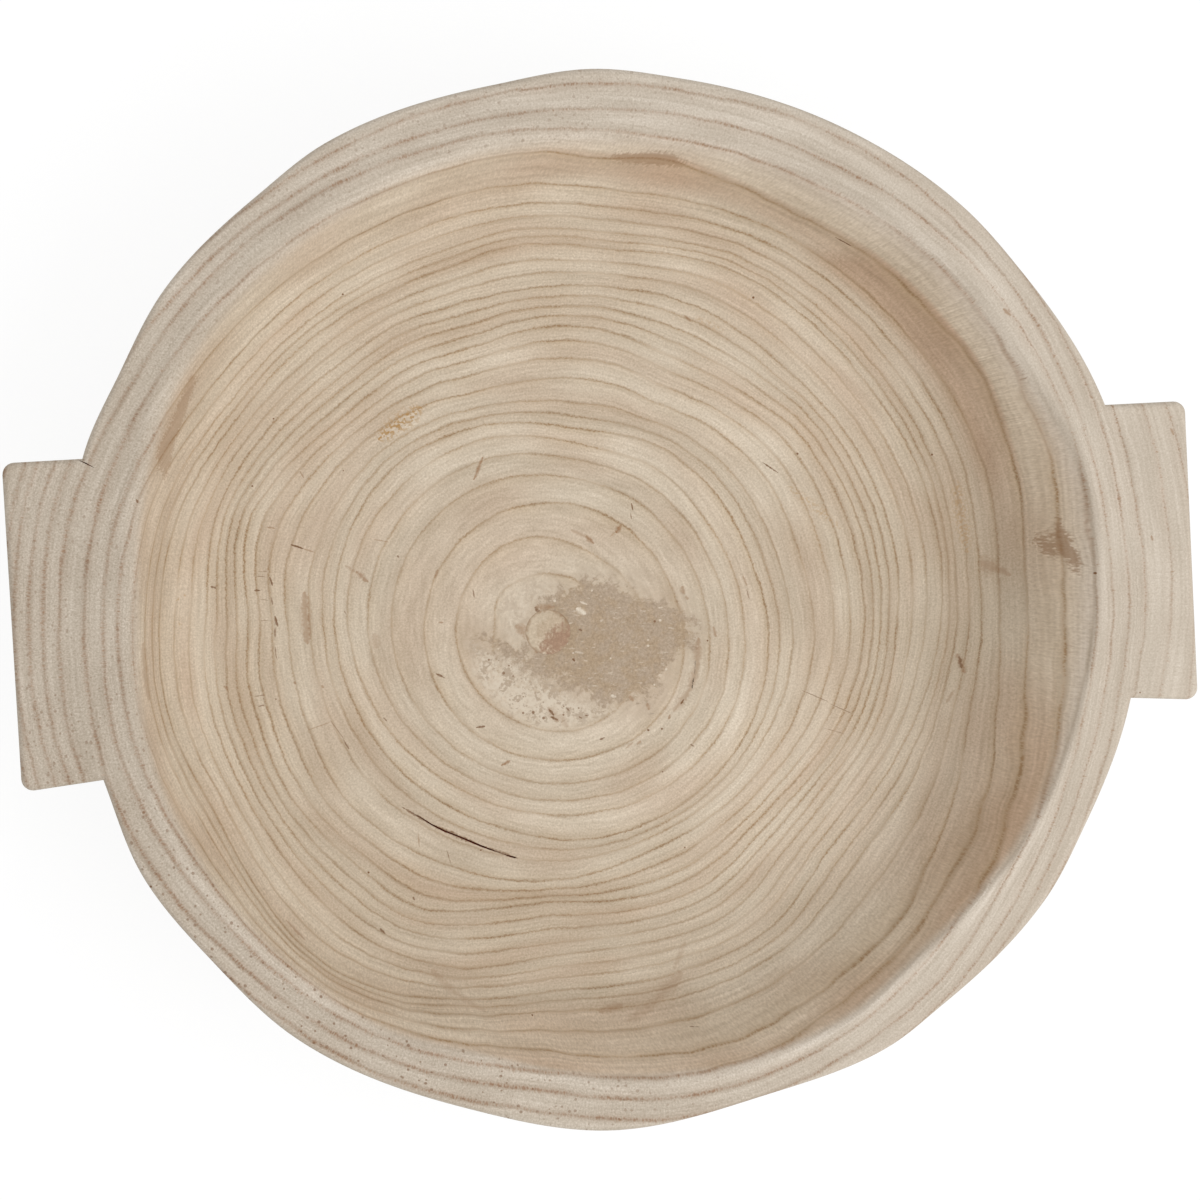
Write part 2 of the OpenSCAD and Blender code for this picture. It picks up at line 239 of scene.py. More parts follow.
# Marks in the floor and the rim, seen in plan: from x, y to x, y, then width and strength
DARK_MARKS = [
    [-76, -83.7, -64.3, -90.7, 1.3, 0.75], [-64.3, -90.7, -45.1, -99.2, 1.7, 0.8],
    [-45.1, -99.2, -30.5, -104.3, 1.5, 0.7], [-120, 21, -115.5, 19.5, 0.9, 1],
    [-128.5, 8, -127.5, 5, 1, 0.8], [-128, 0, -127.5, -2.5, 0.7, 0.6],
    [-126.5, -7.5, -125.5, -11, 1.3, 0.8], [-126.5, -12, -126.5, -15.5, 0.8, 0.7],
    [-126.5, -19.5, -126, -24, 0.6, 0.6], [-134.5, 3, -132.5, 3, 0.8, 0.8],
    [-133.5, 8.5, -129.5, 8.5, 0.45, 0.6], [-133, 10.5, -129.5, 10.5, 0.4, 0.5],
    [-132.5, -0.5, -129, -1, 0.4, 0.45], [-132, -9, -129.5, -9, 0.5, 0.5],
    [-151.5, 4.5, -150, 4, 1.2, 0.8], [-134.5, -39, -130.5, -38.5, 0.5, 0.55],
    [-133, -43, -131, -42.5, 0.6, 0.7], [-131, -38.5, -131, -43, 0.4, 0.45],
    [-99.5, -56.5, -97.5, -60, 0.8, 0.7], [-104.5, -49, -99.5, -56, 0.5, 0.5],
    [-62.5, -30.5, -59.5, -32, 1.1, 0.85], [-46.5, -52, -43.5, -51.5, 1.2, 0.8],
    [-48, 3, -47.5, 0, 0.7, 0.7], [-23, -4.5, -21.5, -6, 1.8, 0.7], [-8, -25, -7.5, -25.5, 1.2, 1],
    [-5.5, -13, -4.5, -13.5, 0.9, 0.7], [35.5, -43, 36.5, -41.5, 1, 1],
    [22, -53.5, 22.5, -53.5, 0.9, 0.9], [39.5, -59.5, 40.5, -60, 0.9, 0.8],
    [3, -57, 4.5, -56.5, 0.9, 0.8], [-17.5, -45, -16, -47, 1.5, 0.8], [-16.5, -48, -14.5, -49, 1.6, 0.85],
    [-10.5, -44.5, -9.5, -45.5, 0.9, 0.7], [-5.5, -48, -4.5, -48.5, 0.8, 0.7],
    [-3, -47.5, -2, -47.5, 0.8, 0.7], [15.5, 37, 16, 34.5, 0.9, 0.9], [15, 33.5, 15.5, 31, 0.6, 0.6],
    [-85, -132, -83.5, -133.5, 1.2, 0.8], [84.5, -38, 95, -42.5, 0.5, 0.55],
    [96, -43.5, 105, -47.5, 0.5, 0.55], [93, -53, 101.5, -55.5, 0.4, 0.5],
    [68.5, 53.5, 74.5, 49.5, 0.8, 0.85], [148.5, -25, 149.5, -29, 1.6, 0.7],
    [-180, 39.5, -179.5, 38.5, 0.9, 0.8], [-58.5, -101, -57, -106, 0.5, 0.6],
    [-78, 16.5, -77.5, 16, 0.8, 0.7], [-83.5, -48, -82.5, -49, 0.9, 0.7],
    [-99, -5.5, -98.5, -6.5, 0.8, 0.6], [-72, -119.5, -71.5, -120.5, 0.9, 0.7],
    [62, 2.5, 63, -1, 0.7, 0.5],
]
BROWN_MARKS = [
    [-115.5, 19.5, -111, 18, 0.7, 0.5], [-129.5, 28, -126.5, 27.5, 0.6, 0.6],
    [-116.5, 50, -115, 47.5, 0.6, 0.6], [-94, 10, -90, 6.5, 2, 0.6], [-98.5, 12.5, -94, 10, 1.4, 0.35],
    [-114.8, 1, -113.8, -17, 4.5, 0.5], [-113.5, -52.5, -105, -49.5, 0.5, 0.5],
    [-119, -33.5, -118.5, -34, 1, 0.6], [-108, -35, -107.5, -35.5, 1.1, 0.5],
    [-146.5, -35, -145.5, -36, 1.2, 0.6], [9.5, 26, 11, 28, 2, 0.8], [7, 24, 9.5, 26.5, 0.9, 0.4],
    [-3, 24.5, 0, 21.5, 1.8, 0.75], [-8.5, 26.5, -3, 24, 1.6, 0.35],
    [-36.5, -67, -33.5, -65.5, 1.4, 0.75], [-61.5, -10, -60, -10, 0.8, 0.6],
    [36, 3.5, 36.5, 1.5, 2.2, 0.5], [37.5, 0, 38, -1, 1.2, 0.5], [48.5, -12.5, 49.5, -16, 1.3, 0.5],
    [-28.5, -12, -26, -14, 2.2, 0.6], [30.5, -49, 31, -47.5, 1, 0.7], [13.5, -60.5, 16, -58.5, 1, 0.4],
    [18, -59, 19, -58, 1.3, 0.5], [15, -40, 16, -41.5, 1.6, 0.6], [22, -43, 22.5, -45, 1.4, 0.5],
    [-87, 23, -81.5, 22, 0.5, 0.5], [-87, -15.5, -86.5, -19, 4, 0.22], [-44, 55.5, -47.5, 47, 1.5, 0.7],
    [-13, -47.5, -10.5, -51.5, 2.5, 0.3], [-17.5, -45, -14.5, -49, 3.6, 0.4],
    [37, -139, 33, -149, 2.6, 0.22], [-30, -12, -25.5, -15, 4.4, 0.5], [-22.5, -4, -16, -4, 2.4, 0.5],
    [-24, -19.5, -22.5, -22, 1.8, 0.5], [37, 112, 39, 110, 1.2, 0.6], [143.5, -43, 146, -39, 1.6, 0.35],
    [148, -24.5, 150.5, -30.5, 3.2, 0.45], [-70, -93.5, -69.5, -99.5, 0.7, 0.5],
    [-63, 8, -62, 11, 1.1, 0.5], [42.5, -17.5, 42, -27.5, 3.2, 0.42], [42, -27.5, 39, -37.5, 3.4, 0.42],
    [39, -37.5, 33, -45.5, 3.2, 0.4], [211, 25, 211.5, 23.5, 1, 0.6],
    [152.5, 112.5, 155, 110.5, 1.6, 0.6], [218.5, 66.5, 219.5, 64.5, 1.2, 0.5],
    [60.5, 8, 62, 4.5, 1, 0.45],
]
GOLD_MARKS = [
    [-83, 64.5, -71, 73.5, 10, 1], [147, 44.5, 151.5, 19.5, 8, 0.5], [79.5, 43.5, 99, 28, 5, 0.4],
    [42, 111, 51.5, 106.5, 4, 0.4],
]
PALE_MARKS = [
    [-6, -5, -3.5, -6.5, 2.6, 0.9], [-5, -2, -2.5, -3, 0.9, 0.8], [7.5, -39.5, 9, -40, 1.2, 0.7],
    [-7, -22, -4, -22.5, 1, 0.4],
]
# Marks in the wall: from angle, height to angle, height, then width and strength
DARK_WALL_MARKS = [[282.2, 44, 283.2, 46, 1, 0.7], [56.6, 49, 54.4, 50, 1.2, 1]]
BROWN_WALL_MARKS = [
    [5, 24, 3.8, 26, 3, 0.4], [4, 26, 2.9, 29, 2, 0.35], [225.9, 49, 228.6, 50, 4.2, 0.5],
    [270.9, 32, 273.6, 30, 3.5, 0.35], [283, 25, 278.7, 29, 4, 0.25], [278.7, 29, 274.5, 36, 4, 0.2],
    [246.6, 29, 250.9, 35, 4, 0.24], [250.9, 35, 254.7, 42, 4, 0.18], [186.1, 75, 190.8, 72, 12, 0.3],
]
GOLD_WALL_MARKS = [[180.2, 34, 179.4, 30, 1.6, 0.5], [182.4, 33, 183.9, 32, 2.2, 0.55]]

# Larger stains in the wall: their outline by angle and height, and how strongly they show
WALL_STAINS = [
    ([
        [9.4, 60], [8.9, 62], [6.5, 70], [4.6, 75], [3.4, 76], [4, 70], [5.1, 64], [5.7, 58], [6, 44],
        [6.3, 44], [6.4, 57], [6.8, 57], [7.1, 40], [7.4, 40], [7.6, 57], [8.1, 58],
    ], 0.66),
    ([
        [151.4, 62], [154, 61], [157, 57], [160, 58], [161.5, 54], [164, 57], [163, 70], [161.2, 78],
        [159, 73], [157, 70], [154, 70], [151.7, 72],
    ], 0.4),
    ([
        [88.8, 64], [87.3, 67], [84.2, 71], [82, 73], [80.1, 67], [80.3, 61], [82.3, 60], [85, 59],
        [87.3, 59],
    ], 0.46),
]

# Open cracks: x, y of the middle line and the width there, in the floor and the left handle
FLOOR_CRACK = [
    [-72, -85.9, 0.15], [-69, -87.7, 0.45], [-64.3, -90.7, 0.95], [-59.5, -93.2, 0.95],
    [-55.1, -94.9, 0.8], [-49.9, -97.1, 0.95], [-45.1, -99.2, 1.1], [-41.5, -100.6, 0.8],
    [-38.5, -101.7, 0.3], [-36, -102.6, 0.2], [-33.5, -103.5, 0.9], [-31.3, -104.1, 0.9],
]
HANDLE_CHECK = [[-201, 54.2, 0.3], [-198.8, 53.2, 0.6], [-196.4, 51.9, 0.3]]
FLOOR_CRACK_DEPTH = 5
HANDLE_CHECK_DEPTH = 4


def curve_at(knots, angle):
    """Values of a smooth closed curve through knots of angle and value, at angles in degrees."""
    x, y = np.array(list(knots.items()), float).T
    x = np.concatenate([x[-2:] - 360, x, x[:2] + 360])
    y = np.concatenate([y[-2:], y, y[:2]])
    slope = (y[2:] - y[:-2]) / (x[2:] - x[:-2])
    x, y = x[1:-1], y[1:-1]
    a = np.mod(angle, 360)
    i = np.clip(np.searchsorted(x, a, side="right") - 1, 0, len(x) - 2)
    span = x[i + 1] - x[i]
    t = (a - x[i]) / span
    rise = y[i + 1] - y[i]
    return y[i] + rise * t * t * (3 - 2 * t) + span * t * (1 - t) * (slope[i] * (1 - t) - slope[i + 1] * t)


def outline_r(angle):
    return BOWL_R + OUTLINE_STRAY * curve_at(OUTLINE, angle)


def lip_r(angle):
    return BOWL_R - RIM_W + LIP_STRAY * curve_at(LIP, angle)


def polar(radius, angle):
    a = np.radians(angle)
    return np.stack([radius * np.cos(a), radius * np.sin(a)], -1)


def to_polar(x, y):
    """Angle in degrees and distance of places in plan."""
    return np.degrees(np.arctan2(y, x)), np.hypot(x, y)


def smooth_step(low, high, x):
    t = np.clip((x - low) / (high - low), 0, 1)
    return t * t * (3 - 2 * t)


# Columns round the bowl

SIDE_STEPS = 7
CORNER_STEPS = 6
FACE_STEPS = 26
ROOT_HALVINGS = 30
RIM_STEP = 1
HANDLE_BLEND = (1, 8)


def handle_columns(turn, shift, length, reach, low_flare, high_flare):
    """Points round a handle from one root to the other, with their angles about the bowl's middle."""
    tip = BOWL_R + reach
    straight = tip - CORNER_R
    sides = []
    for side, flare in ((shift - length / 2, low_flare), (shift + length / 2, high_flare)):
        inner, outer = BOWL_R / 2, straight
        for _ in range(ROOT_HALVINGS):
            out = (inner + outer) / 2
            across = side - math.copysign(flare, side) * (straight - out) / reach
            if math.hypot(out, across) > outline_r(turn + math.degrees(math.atan2(across, out))):
                outer = out
            else:
                inner = out
        outs = np.linspace(out, straight, SIDE_STEPS + 1)
        sides.append(np.stack([outs, side - math.copysign(flare, side) * (straight - outs) / reach], -1))
    low, high = sides
    centre_low = np.array([straight, shift - length / 2 + CORNER_R])
    centre_high = np.array([straight, shift + length / 2 - CORNER_R])
    bend = np.linspace(0, 90, CORNER_STEPS + 1)
    face = np.linspace(centre_low[1], centre_high[1], FACE_STEPS + 1)[1:-1]
    points = np.concatenate([
        low[:-1],
        centre_low + polar(CORNER_R, bend - 90),
        np.stack([np.full_like(face, tip), face], -1),
        centre_high + polar(CORNER_R, bend),
        high[-2::-1],
    ])
    aside, out = to_polar(*points.T)
    return turn + aside, polar(out, turn + aside)


def rim_columns(start, end):
    angles = np.linspace(start, end, math.ceil((end - start) / RIM_STEP) + 1)[1:-1]
    return angles, polar(outline_r(angles), angles)


right = handle_columns(*RIGHT_HANDLE)
left = handle_columns(*LEFT_HANDLE)
columns = [
    right,
    rim_columns(right[0][-1], left[0][0]),
    left,
    rim_columns(left[0][-1], right[0][0] + 360),
]
ANGLE = np.concatenate([c[0] for c in columns])
TOP = np.concatenate([c[1] for c in columns])
COLUMNS = len(ANGLE)
BOWL_OUT = polar(outline_r(ANGLE), ANGLE)
ON_HANDLE = smooth_step(*HANDLE_BLEND, np.linalg.norm(TOP - BOWL_OUT, axis=1))


def inset(distance):
    """The outline with the handles, moved in by a distance, which may differ from column to column."""
    step = np.roll(TOP, -1, axis=0) - TOP
    after = np.stack([-step[:, 1], step[:, 0]], -1) / np.linalg.norm(step, axis=1)[:, None]
    before = np.roll(after, 1, axis=0)
    lean = 1 + np.sum(before * after, axis=1)
    return TOP + (np.broadcast_to(distance, COLUMNS) / lean)[:, None] * (before + after)


# Rings of the carved bowl

OUTER_STEPS = 22
UNDER_STEPS = 4
TIP_STEPS = 6
EDGE_STEPS = 5
RIM_STEPS = 14
LIP_STEPS = 6
WALL_STEPS = 22
COVE_STEPS = 16
FLOOR_STEPS = 84
BASE_STEPS = 10
BORE_STEPS = 3
UNDER_EDGE_STEPS = 3
UNDER_EDGE_R = 2
BASE_EDGE = 1.2
BASE_EDGE_Z = BASE_EDGE / 4

root_z = BOWL_H - HANDLE_T - HANDLE_DROP
tip_z = BOWL_H - HANDLE_T
wall_top = BOWL_H - LIP_R * (1 - math.sin(WALL_LEAN))
cove_z = FLOOR_Z + COVE_R * (1 - math.sin(WALL_LEAN))
cove_in = (wall_top - cove_z) * math.tan(WALL_LEAN) + COVE_R * math.cos(WALL_LEAN)
lip_round = curve_at(LIP_ROUND, ANGLE)
lip_z = BOWL_H - lip_round * (1 - math.sin(WALL_LEAN))
floor_edge = polar(lip_r(ANGLE) - cove_in, ANGLE)
pith_way = floor_edge - PITH
pith_reach = np.linalg.norm(pith_way, axis=1)
pith_way = pith_way / pith_reach[:, None]


def wall_r(angle, z):
    """Distance of the inner wall or cove from the middle at a height."""
    wall = lip_r(angle) - (wall_top - z) * math.tan(WALL_LEAN)
    rise = np.clip(1 - (z - FLOOR_Z) / COVE_R, 0, 1)
    cove = lip_r(angle) - cove_in + COVE_R * np.sqrt(1 - rise * rise)
    return np.where(z > cove_z, wall, cove)


def ring(points, z):
    return np.column_stack([points, np.full(COLUMNS, float(z)) if np.isscalar(z) else z])


def pith_circle(radius):
    return PITH + radius * pith_way


def base_rings():
    """Foot of the bore, recess of the filler and flat base."""
    base_in = pith_circle(UNDER_R + GLUE_GAP)
    rings = [ring(pith_circle(BORE_R), FILLER_T), ring(base_in, FILLER_T), ring(base_in, 0)]
    base_out = polar(BASE_R - BASE_EDGE, ANGLE)
    for k in range(1, BASE_STEPS + 1):
        rings.append(ring(base_in + (base_out - base_in) * k / BASE_STEPS, 0))
    return rings


def outside_rings():
    """Outside of the bowl, then the underside and the face of the handles."""
    rings = []
    radius = outline_r(ANGLE)
    for k in range(OUTER_STEPS + 1):
        a = FOOT_SLOPE * (1 - k / OUTER_STEPS)
        share = (1 - math.cos(a)) / (1 - math.cos(FOOT_SLOPE))
        z = root_z * (1 - math.sin(a) / math.sin(FOOT_SLOPE))
        rings.append(ring(polar(radius + (BASE_R - radius) * share, ANGLE), max(z, BASE_EDGE_Z)))
    under = inset(UNDER_EDGE_R * ON_HANDLE)
    for k in range(1, UNDER_STEPS + 1):
        share = k / (UNDER_STEPS + 1)
        rings.append(ring(BOWL_OUT + (under - BOWL_OUT) * share, root_z + HANDLE_DROP * share))
    for k in range(UNDER_EDGE_STEPS + 1):
        a = math.radians(90 * k / UNDER_EDGE_STEPS)
        under = inset(UNDER_EDGE_R * (1 - math.sin(a)) * ON_HANDLE)
        rings.append(ring(under, tip_z + UNDER_EDGE_R * (1 - math.cos(a))))
    face_low, face_high = tip_z + UNDER_EDGE_R, BOWL_H - EDGE_R
    for k in range(1, TIP_STEPS):
        rings.append(ring(TOP, face_low + (face_high - face_low) * k / TIP_STEPS))
    return rings


def rim_rings():
    """Rounded outer edge, flat rim and lip."""
    rings = []
    for k in range(EDGE_STEPS + 1):
        a = math.radians(90 * k / EDGE_STEPS)
        rings.append(ring(inset(EDGE_R * (1 - math.cos(a))), BOWL_H - EDGE_R * (1 - math.sin(a))))
    rim_out = inset(EDGE_R)
    lip_foot = wall_r(ANGLE, lip_z)
    lip_top = polar(lip_foot + lip_round * math.cos(WALL_LEAN), ANGLE)
    for k in range(1, RIM_STEPS):
        rings.append(ring(rim_out + (lip_top - rim_out) * k / RIM_STEPS, BOWL_H))
    for k in range(LIP_STEPS + 1):
        a = math.pi / 2 - (math.pi / 2 - WALL_LEAN) * k / LIP_STEPS
        back = lip_round * (math.cos(a) - math.cos(WALL_LEAN))
        rings.append(ring(polar(lip_foot - back, ANGLE), BOWL_H - lip_round * (1 - math.sin(a))))
    return rings


def inside_rings():
    """Wall, cove, floor and bore."""
    rings = []
    for k in range(1, WALL_STEPS):
        z = lip_z + (cove_z - lip_z) * k / WALL_STEPS
        rings.append(ring(polar(wall_r(ANGLE, z), ANGLE), z))
    for k in range(COVE_STEPS + 1):
        a = WALL_LEAN + (math.pi / 2 - WALL_LEAN) * k / COVE_STEPS
        back = cove_in - COVE_R * math.cos(a)
        rings.append(ring(polar(lip_r(ANGLE) - back, ANGLE), FLOOR_Z + COVE_R * (1 - math.sin(a))))
    for k in range(1, FLOOR_STEPS + 1):
        reach = pith_reach + (BORE_R - pith_reach) * (k / FLOOR_STEPS)
        rings.append(ring(PITH + reach[:, None] * pith_way, FLOOR_Z))
    for k in range(1, BORE_STEPS):
        rings.append(ring(pith_circle(BORE_R), FLOOR_Z + (FILLER_T - FLOOR_Z) * k / BORE_STEPS))
    return rings


PATCH_STEPS = 3


def closed_loop(points, substeps):
    """Smooth closed outline through a few points."""
    p1 = np.array(points, float)
    p0, p2, p3 = np.roll(p1, 1, 0), np.roll(p1, -1, 0), np.roll(p1, -2, 0)
    bend = 2 * p0 - 5 * p1 + 4 * p2 - p3
    twist = 3 * p1 - p0 - 3 * p2 + p3
    found = []
    for k in range(substeps):
        t = k / substeps
        found.append(p1 + ((p2 - p0) * t + bend * t**2 + twist * t**3) / 2)
    return np.stack(found, 1).reshape(-1, 2)


patch_loop = PITH + PATCH_SHIFT + closed_loop(np.array(PATCH) * PATCH_HALF, PATCH_STEPS)


def side_distance(points, a, b):
    """Distance of points from the straight line between two ends."""
    way = b - a
    t = np.clip(((points - a) @ way) / (way @ way), 0, 1)
    return np.linalg.norm(points - a - t[:, None] * way, axis=1)


def line_distance(points, line):
    """Distance of points from a line through several points."""
    return np.min([side_distance(points, a, b) for a, b in zip(line[:-1], line[1:])], axis=0)


def edge_distance(points, loop):
    """Distance of points from a closed outline, below 0 inside it."""
    away = line_distance(points, np.concatenate([loop, loop[:1]]))
    inside = np.zeros(len(points), bool)
    for a, b in zip(loop, np.roll(loop, -1, 0)):
        crosses = (a[1] > points[:, 1]) != (b[1] > points[:, 1])
        rise = b[1] - a[1] if b[1] != a[1] else 1e-9
        inside ^= crosses & (points[:, 0] < a[0] + (points[:, 1] - a[1]) * (b - a)[0] / rise)
    return np.where(inside, -away, away)


def filler_distance(points):
    """Distance from the edge of the filler, below 0 inside: the patch on the floor or the disc underneath."""
    on_floor = edge_distance(points[:, :2], PITH + np.array(FILLER_LOOK))
    underneath = np.linalg.norm(points[:, :2] - PITH, axis=1) - UNDER_R
    return np.where(points[:, 2] < FLOOR_Z / 2, underneath, on_floor)


CHALK_EDGE = (4, -3)
FAR_AWAY = 99


def chalk_share(points):
    """How chalky the floor is beside the filler, from 0 to 1."""
    found = np.zeros(len(points))
    for loop, strength in CHALK:
        near = smooth_step(*CHALK_EDGE, edge_distance(points[:, :2], PITH + np.array(loop)))
        found = np.maximum(found, strength * near)
    return np.where(points[:, 2] < FLOOR_Z / 2, 0, found)


def wall_stains(points, around, on_wall):
    """Distance from the nearest large stain of the wall, below 0 inside it, and its strength."""
    flat = np.column_stack([np.radians(np.mod(around, 360)) * (BOWL_R - RIM_W), points[:, 2]])
    best = np.full(len(points), float(FAR_AWAY))
    share = np.zeros(len(points))
    for loop, strength in WALL_STAINS:
        turn, height = np.array(loop, float).T
        away = edge_distance(flat, np.column_stack([np.radians(turn) * (BOWL_R - RIM_W), height]))
        near = (away < best) & on_wall
        best[near] = away[near]
        share[near] = strength
    return best, share


# Seeds of the noise, one for each use
FLOOR_SEED, FINE_SEED, WALL_SEED, OUTSIDE_SEED, RIM_SEED = range(1, 6)
PATCH_SEED, UNDER_SEED, CHIP_SEED, PLUG_SEED = range(6, 10)
WOBBLE_SEED, INK_SEED, CLOUD_SEED, FINE_CLOUD_SEED, WARM_SEED = range(11, 16)
SEED_SHIFT = (17.3, 5.1, 9.7)


def ripple(points, size, seed):
    """Smooth noise from -1 to 1, with features of about that size."""
    shift = Vector([seed * s for s in SEED_SHIFT])
    return np.array([noise.noise(Vector(p) / size + shift) for p in points])


# Growth rings at any point of the trunk


def trunk_polar(points):
    """Angle in degrees and distance about the leaning pith."""
    lean = (points[:, 2] - FLOOR_Z) * TRUNK_TILT
    return to_polar(points[:, 0] - PITH[0] - lean, points[:, 1] - PITH[1])


def ring_radii(angle):
    """Radius of every growth ring at each angle."""
    radii = {0: np.full(len(angle), float(PITH_RING_R))}
    for number, knots in KEY_RINGS.items():
        radii[number] = curve_at(knots, angle)
    keys = sorted(KEY_RINGS)
    for number, share in RING_SHARES.items():
        below = max(k for k in keys if k < number)
        above = min(k for k in keys if k > number)
        radii[number] = radii[below] + (radii[above] - radii[below]) * share
    for number in range(keys[-1] + 1, LAST_RING + 1):
        radii[number] = radii[number - 1] + OUTER_RING_W
    return np.stack([radii[n] for n in range(LAST_RING + 1)])


# What the wood's material needs to know at each place of a mesh

FIBRE_STRETCH = 0.06
# Browner zones: [angle from, to], [ring from, to], strength
BROWN_ZONES = [
    [[5, 110], [25, 26.1], 0.5], [[290, 350], [23.5, 27.8], 0.8], [[12, 60], [24.2, 26.1], 0.95],
    [[140, 215], [21.5, 26], 0.25], [[235, 300], [22, 26.5], 0.3], [[325, 362], [24.5, 26.8], 0.4],
]
# Painted light and shade: lighter and darker sides of the floor, the inner wall and the rim as the light
# falls on them, the wall's partly also its lighter long grain: angle and share
FLOOR_PAINTED_LIGHT = {0: -0.07, 45: 0.07, 90: 0.03, 135: 0.06, 180: 0.03, 225: -0.03, 270: -0.05, 315: 0.12}
WALL_GRAIN_AND_PAINTED_LIGHT = {0: 0.21, 45: 0.17, 90: 0.22, 135: 0.08, 180: 0.02, 225: 0.06, 270: 0.16, 315: 0.1}
RIM_PAINTED_LIGHT = {0: -0.05, 50: 0, 90: 0.01, 180: -0.1, 225: -0.08, 270: -0.05, 315: -0.02}
# How far the rim's greyer colour runs down the wall, how coarse its grain is, how dark its lines are and
# how many pores show in it: angle and amount
RIM_FADE = {0: 26, 90: 22, 180: 15, 250: 8, 300: 8, 335: 12}
RIM_ROUGH = {0: 0.75, 60: 0.9, 90: 1, 135: 1.2, 180: 1.4, 225: 1.35, 270: 1.3, 320: 0.8}
RIM_INK = {0: 0.7, 60: 0.95, 90: 1, 180: 0.85, 250: 1.1, 280: 1.1, 325: 0.7}
RIM_PORES = {0: 0.05, 70: 0.1, 95: 0.4, 150: 0.3, 185: 0.5, 215: 0.8, 245: 1, 265: 0.7, 295: 0.1}
# How wide the ring lines and how coarse the grain are in the wall, and how strong the lip's painted highlight
# is, in the same way
WALL_ROUGH = {0: 1.25, 90: 1.3, 180: 1.6, 270: 1.5}
LIP_PAINTED_HIGHLIGHT = {0: 0, 90: 0, 190: 0, 225: 0.08, 270: 0.12, 315: 0.1, 340: 0.04}
# Tool marks up the wall, strongest at the back right: angle and strength
WALL_COMB = {0: 0, 14: 0.1, 26: 0.32, 38: 0.3, 52: 0.12, 65: 0, 180: 0, 330: 0}


def ring_clouds(in_trunk, phase, size, spans, seed):
    """Noise that runs along the rings: length of its features, and how many there are from ring to ring."""
    return ripple(np.column_stack([in_trunk[:, :2] / size, phase * spans]), 1, seed)


def brown_zones(angle, phase):
    found = np.zeros(len(angle))
    for (start, end), (inner, outer), strength in BROWN_ZONES:
        middle, half = (start + end) / 2, (end - start) / 2
        aside = np.abs((angle - middle + 180) % 360 - 180)
        rise = smooth_step(inner, inner + 0.6 * (outer - inner), phase)
        rise = rise * smooth_step(outer + 0.15, outer, phase)
        found = np.maximum(found, strength * rise * smooth_step(half, 0.5 * half, aside))
    return found


def set_attribute(mesh, name, values, domain="POINT"):
    values = np.asarray(values, np.float32)
    if values.ndim == 1:
        mesh.attributes.new(name, "FLOAT", domain).data.foreach_set("value", values)
    else:
        mesh.attributes.new(name, "FLOAT_VECTOR", domain).data.foreach_set("vector", values.ravel())


def read_points(items, name):
    """Vectors of a mesh's vertices or faces, one row each."""
    found = np.empty(len(items) * 3, np.float32)
    items.foreach_get(name, found)
    return found.reshape(-1, 3).astype(float)


CRACK_NEAR = 0.5


def in_cracks(points):
    """1 at the foot of the open cracks, where the wood is painted dark red-brown, partly as painted shade in
    the crack.
    """
    found = np.zeros(len(points))
    for line, top, depth in (
        (FLOOR_CRACK, FLOOR_Z, FLOOR_CRACK_DEPTH), (HANDLE_CHECK, BOWL_H, HANDLE_CHECK_DEPTH),
    ):
        near = line_distance(points[:, :2], np.array(line)[:, :2]) < CRACK_NEAR
        found[near & (np.abs(points[:, 2] - top + depth) < CRACK_NEAR)] = 1
    return found


def ring_place(angle, radius):
    """Ring number with the share of the way to the next ring, and how far apart the rings are there."""
    radii = ring_radii(angle)
    gaps = np.diff(radii, axis=0)
    phase = np.clip((radius - radii[:-1]) / gaps, 0, 1).sum(0)
    middle = np.clip(phase - 0.5, 0, len(gaps) - 1.001)
    i = middle.astype(int)
    here = np.arange(len(phase))
    return phase, gaps[i, here] + (gaps[i + 1, here] - gaps[i, here]) * (middle - i)


# Where the wall's look begins above the floor and ends below the rim, where the lip's painted highlight
# begins below the rim and out from it, where the painted light and shade of the floor's sides begin about the
# pith, and which rings the tool marks cross
WALL_FOOT, WALL_HEAD = (2, 18), (0.3, 5)
LIP_HIGHLIGHT_HEAD, LIP_HIGHLIGHT_SIDE = (9, 2), (7, 2)
PAINTED_SIDES_FROM = (60, 120)
COMB_IN, COMB_OUT = (26, 26.1), (26.9, 26.4)


def wall_and_rim(around, out, z):
    """Shares of the inner wall, and of the rim's look, which also runs down the wall."""
    wall = smooth_step(*WALL_FOOT, z - FLOOR_Z) * smooth_step(*WALL_HEAD, BOWL_H - z)
    upper = smooth_step(curve_at(RIM_FADE, around), 1, BOWL_H - z)
    return np.where(out > LIP_R, 0, wall), np.where(out > LIP_R, 1, upper)


def painted_side_light(around, out, z, radius, wall, rim):
    """Painted light and shade: lighter and darker sides of the floor, the wall and the rim as the light falls
    on them, the wall's share growing towards its top, and a painted highlight on the lip.
    """
    # Painted light and shade by side: on the floor away from the pith, on the wall more towards its top, and
    # on the rim
    floor = smooth_step(*PAINTED_SIDES_FROM, radius) * (1 - wall)
    high = 0.8 + 0.5 * smooth_step(FLOOR_Z + 15, BOWL_H - 8, z)
    lip = smooth_step(*LIP_HIGHLIGHT_HEAD, BOWL_H - z) * smooth_step(*LIP_HIGHLIGHT_SIDE, out)
    tone = floor * curve_at(FLOOR_PAINTED_LIGHT, around) + wall * high * curve_at(WALL_GRAIN_AND_PAINTED_LIGHT, around)
    tone += (curve_at(RIM_PAINTED_LIGHT, around) - tone) * rim * (1 - wall)
    # Painted highlight along the lip, at its lower side
    return tone + lip * curve_at(LIP_PAINTED_HIGHLIGHT, around)


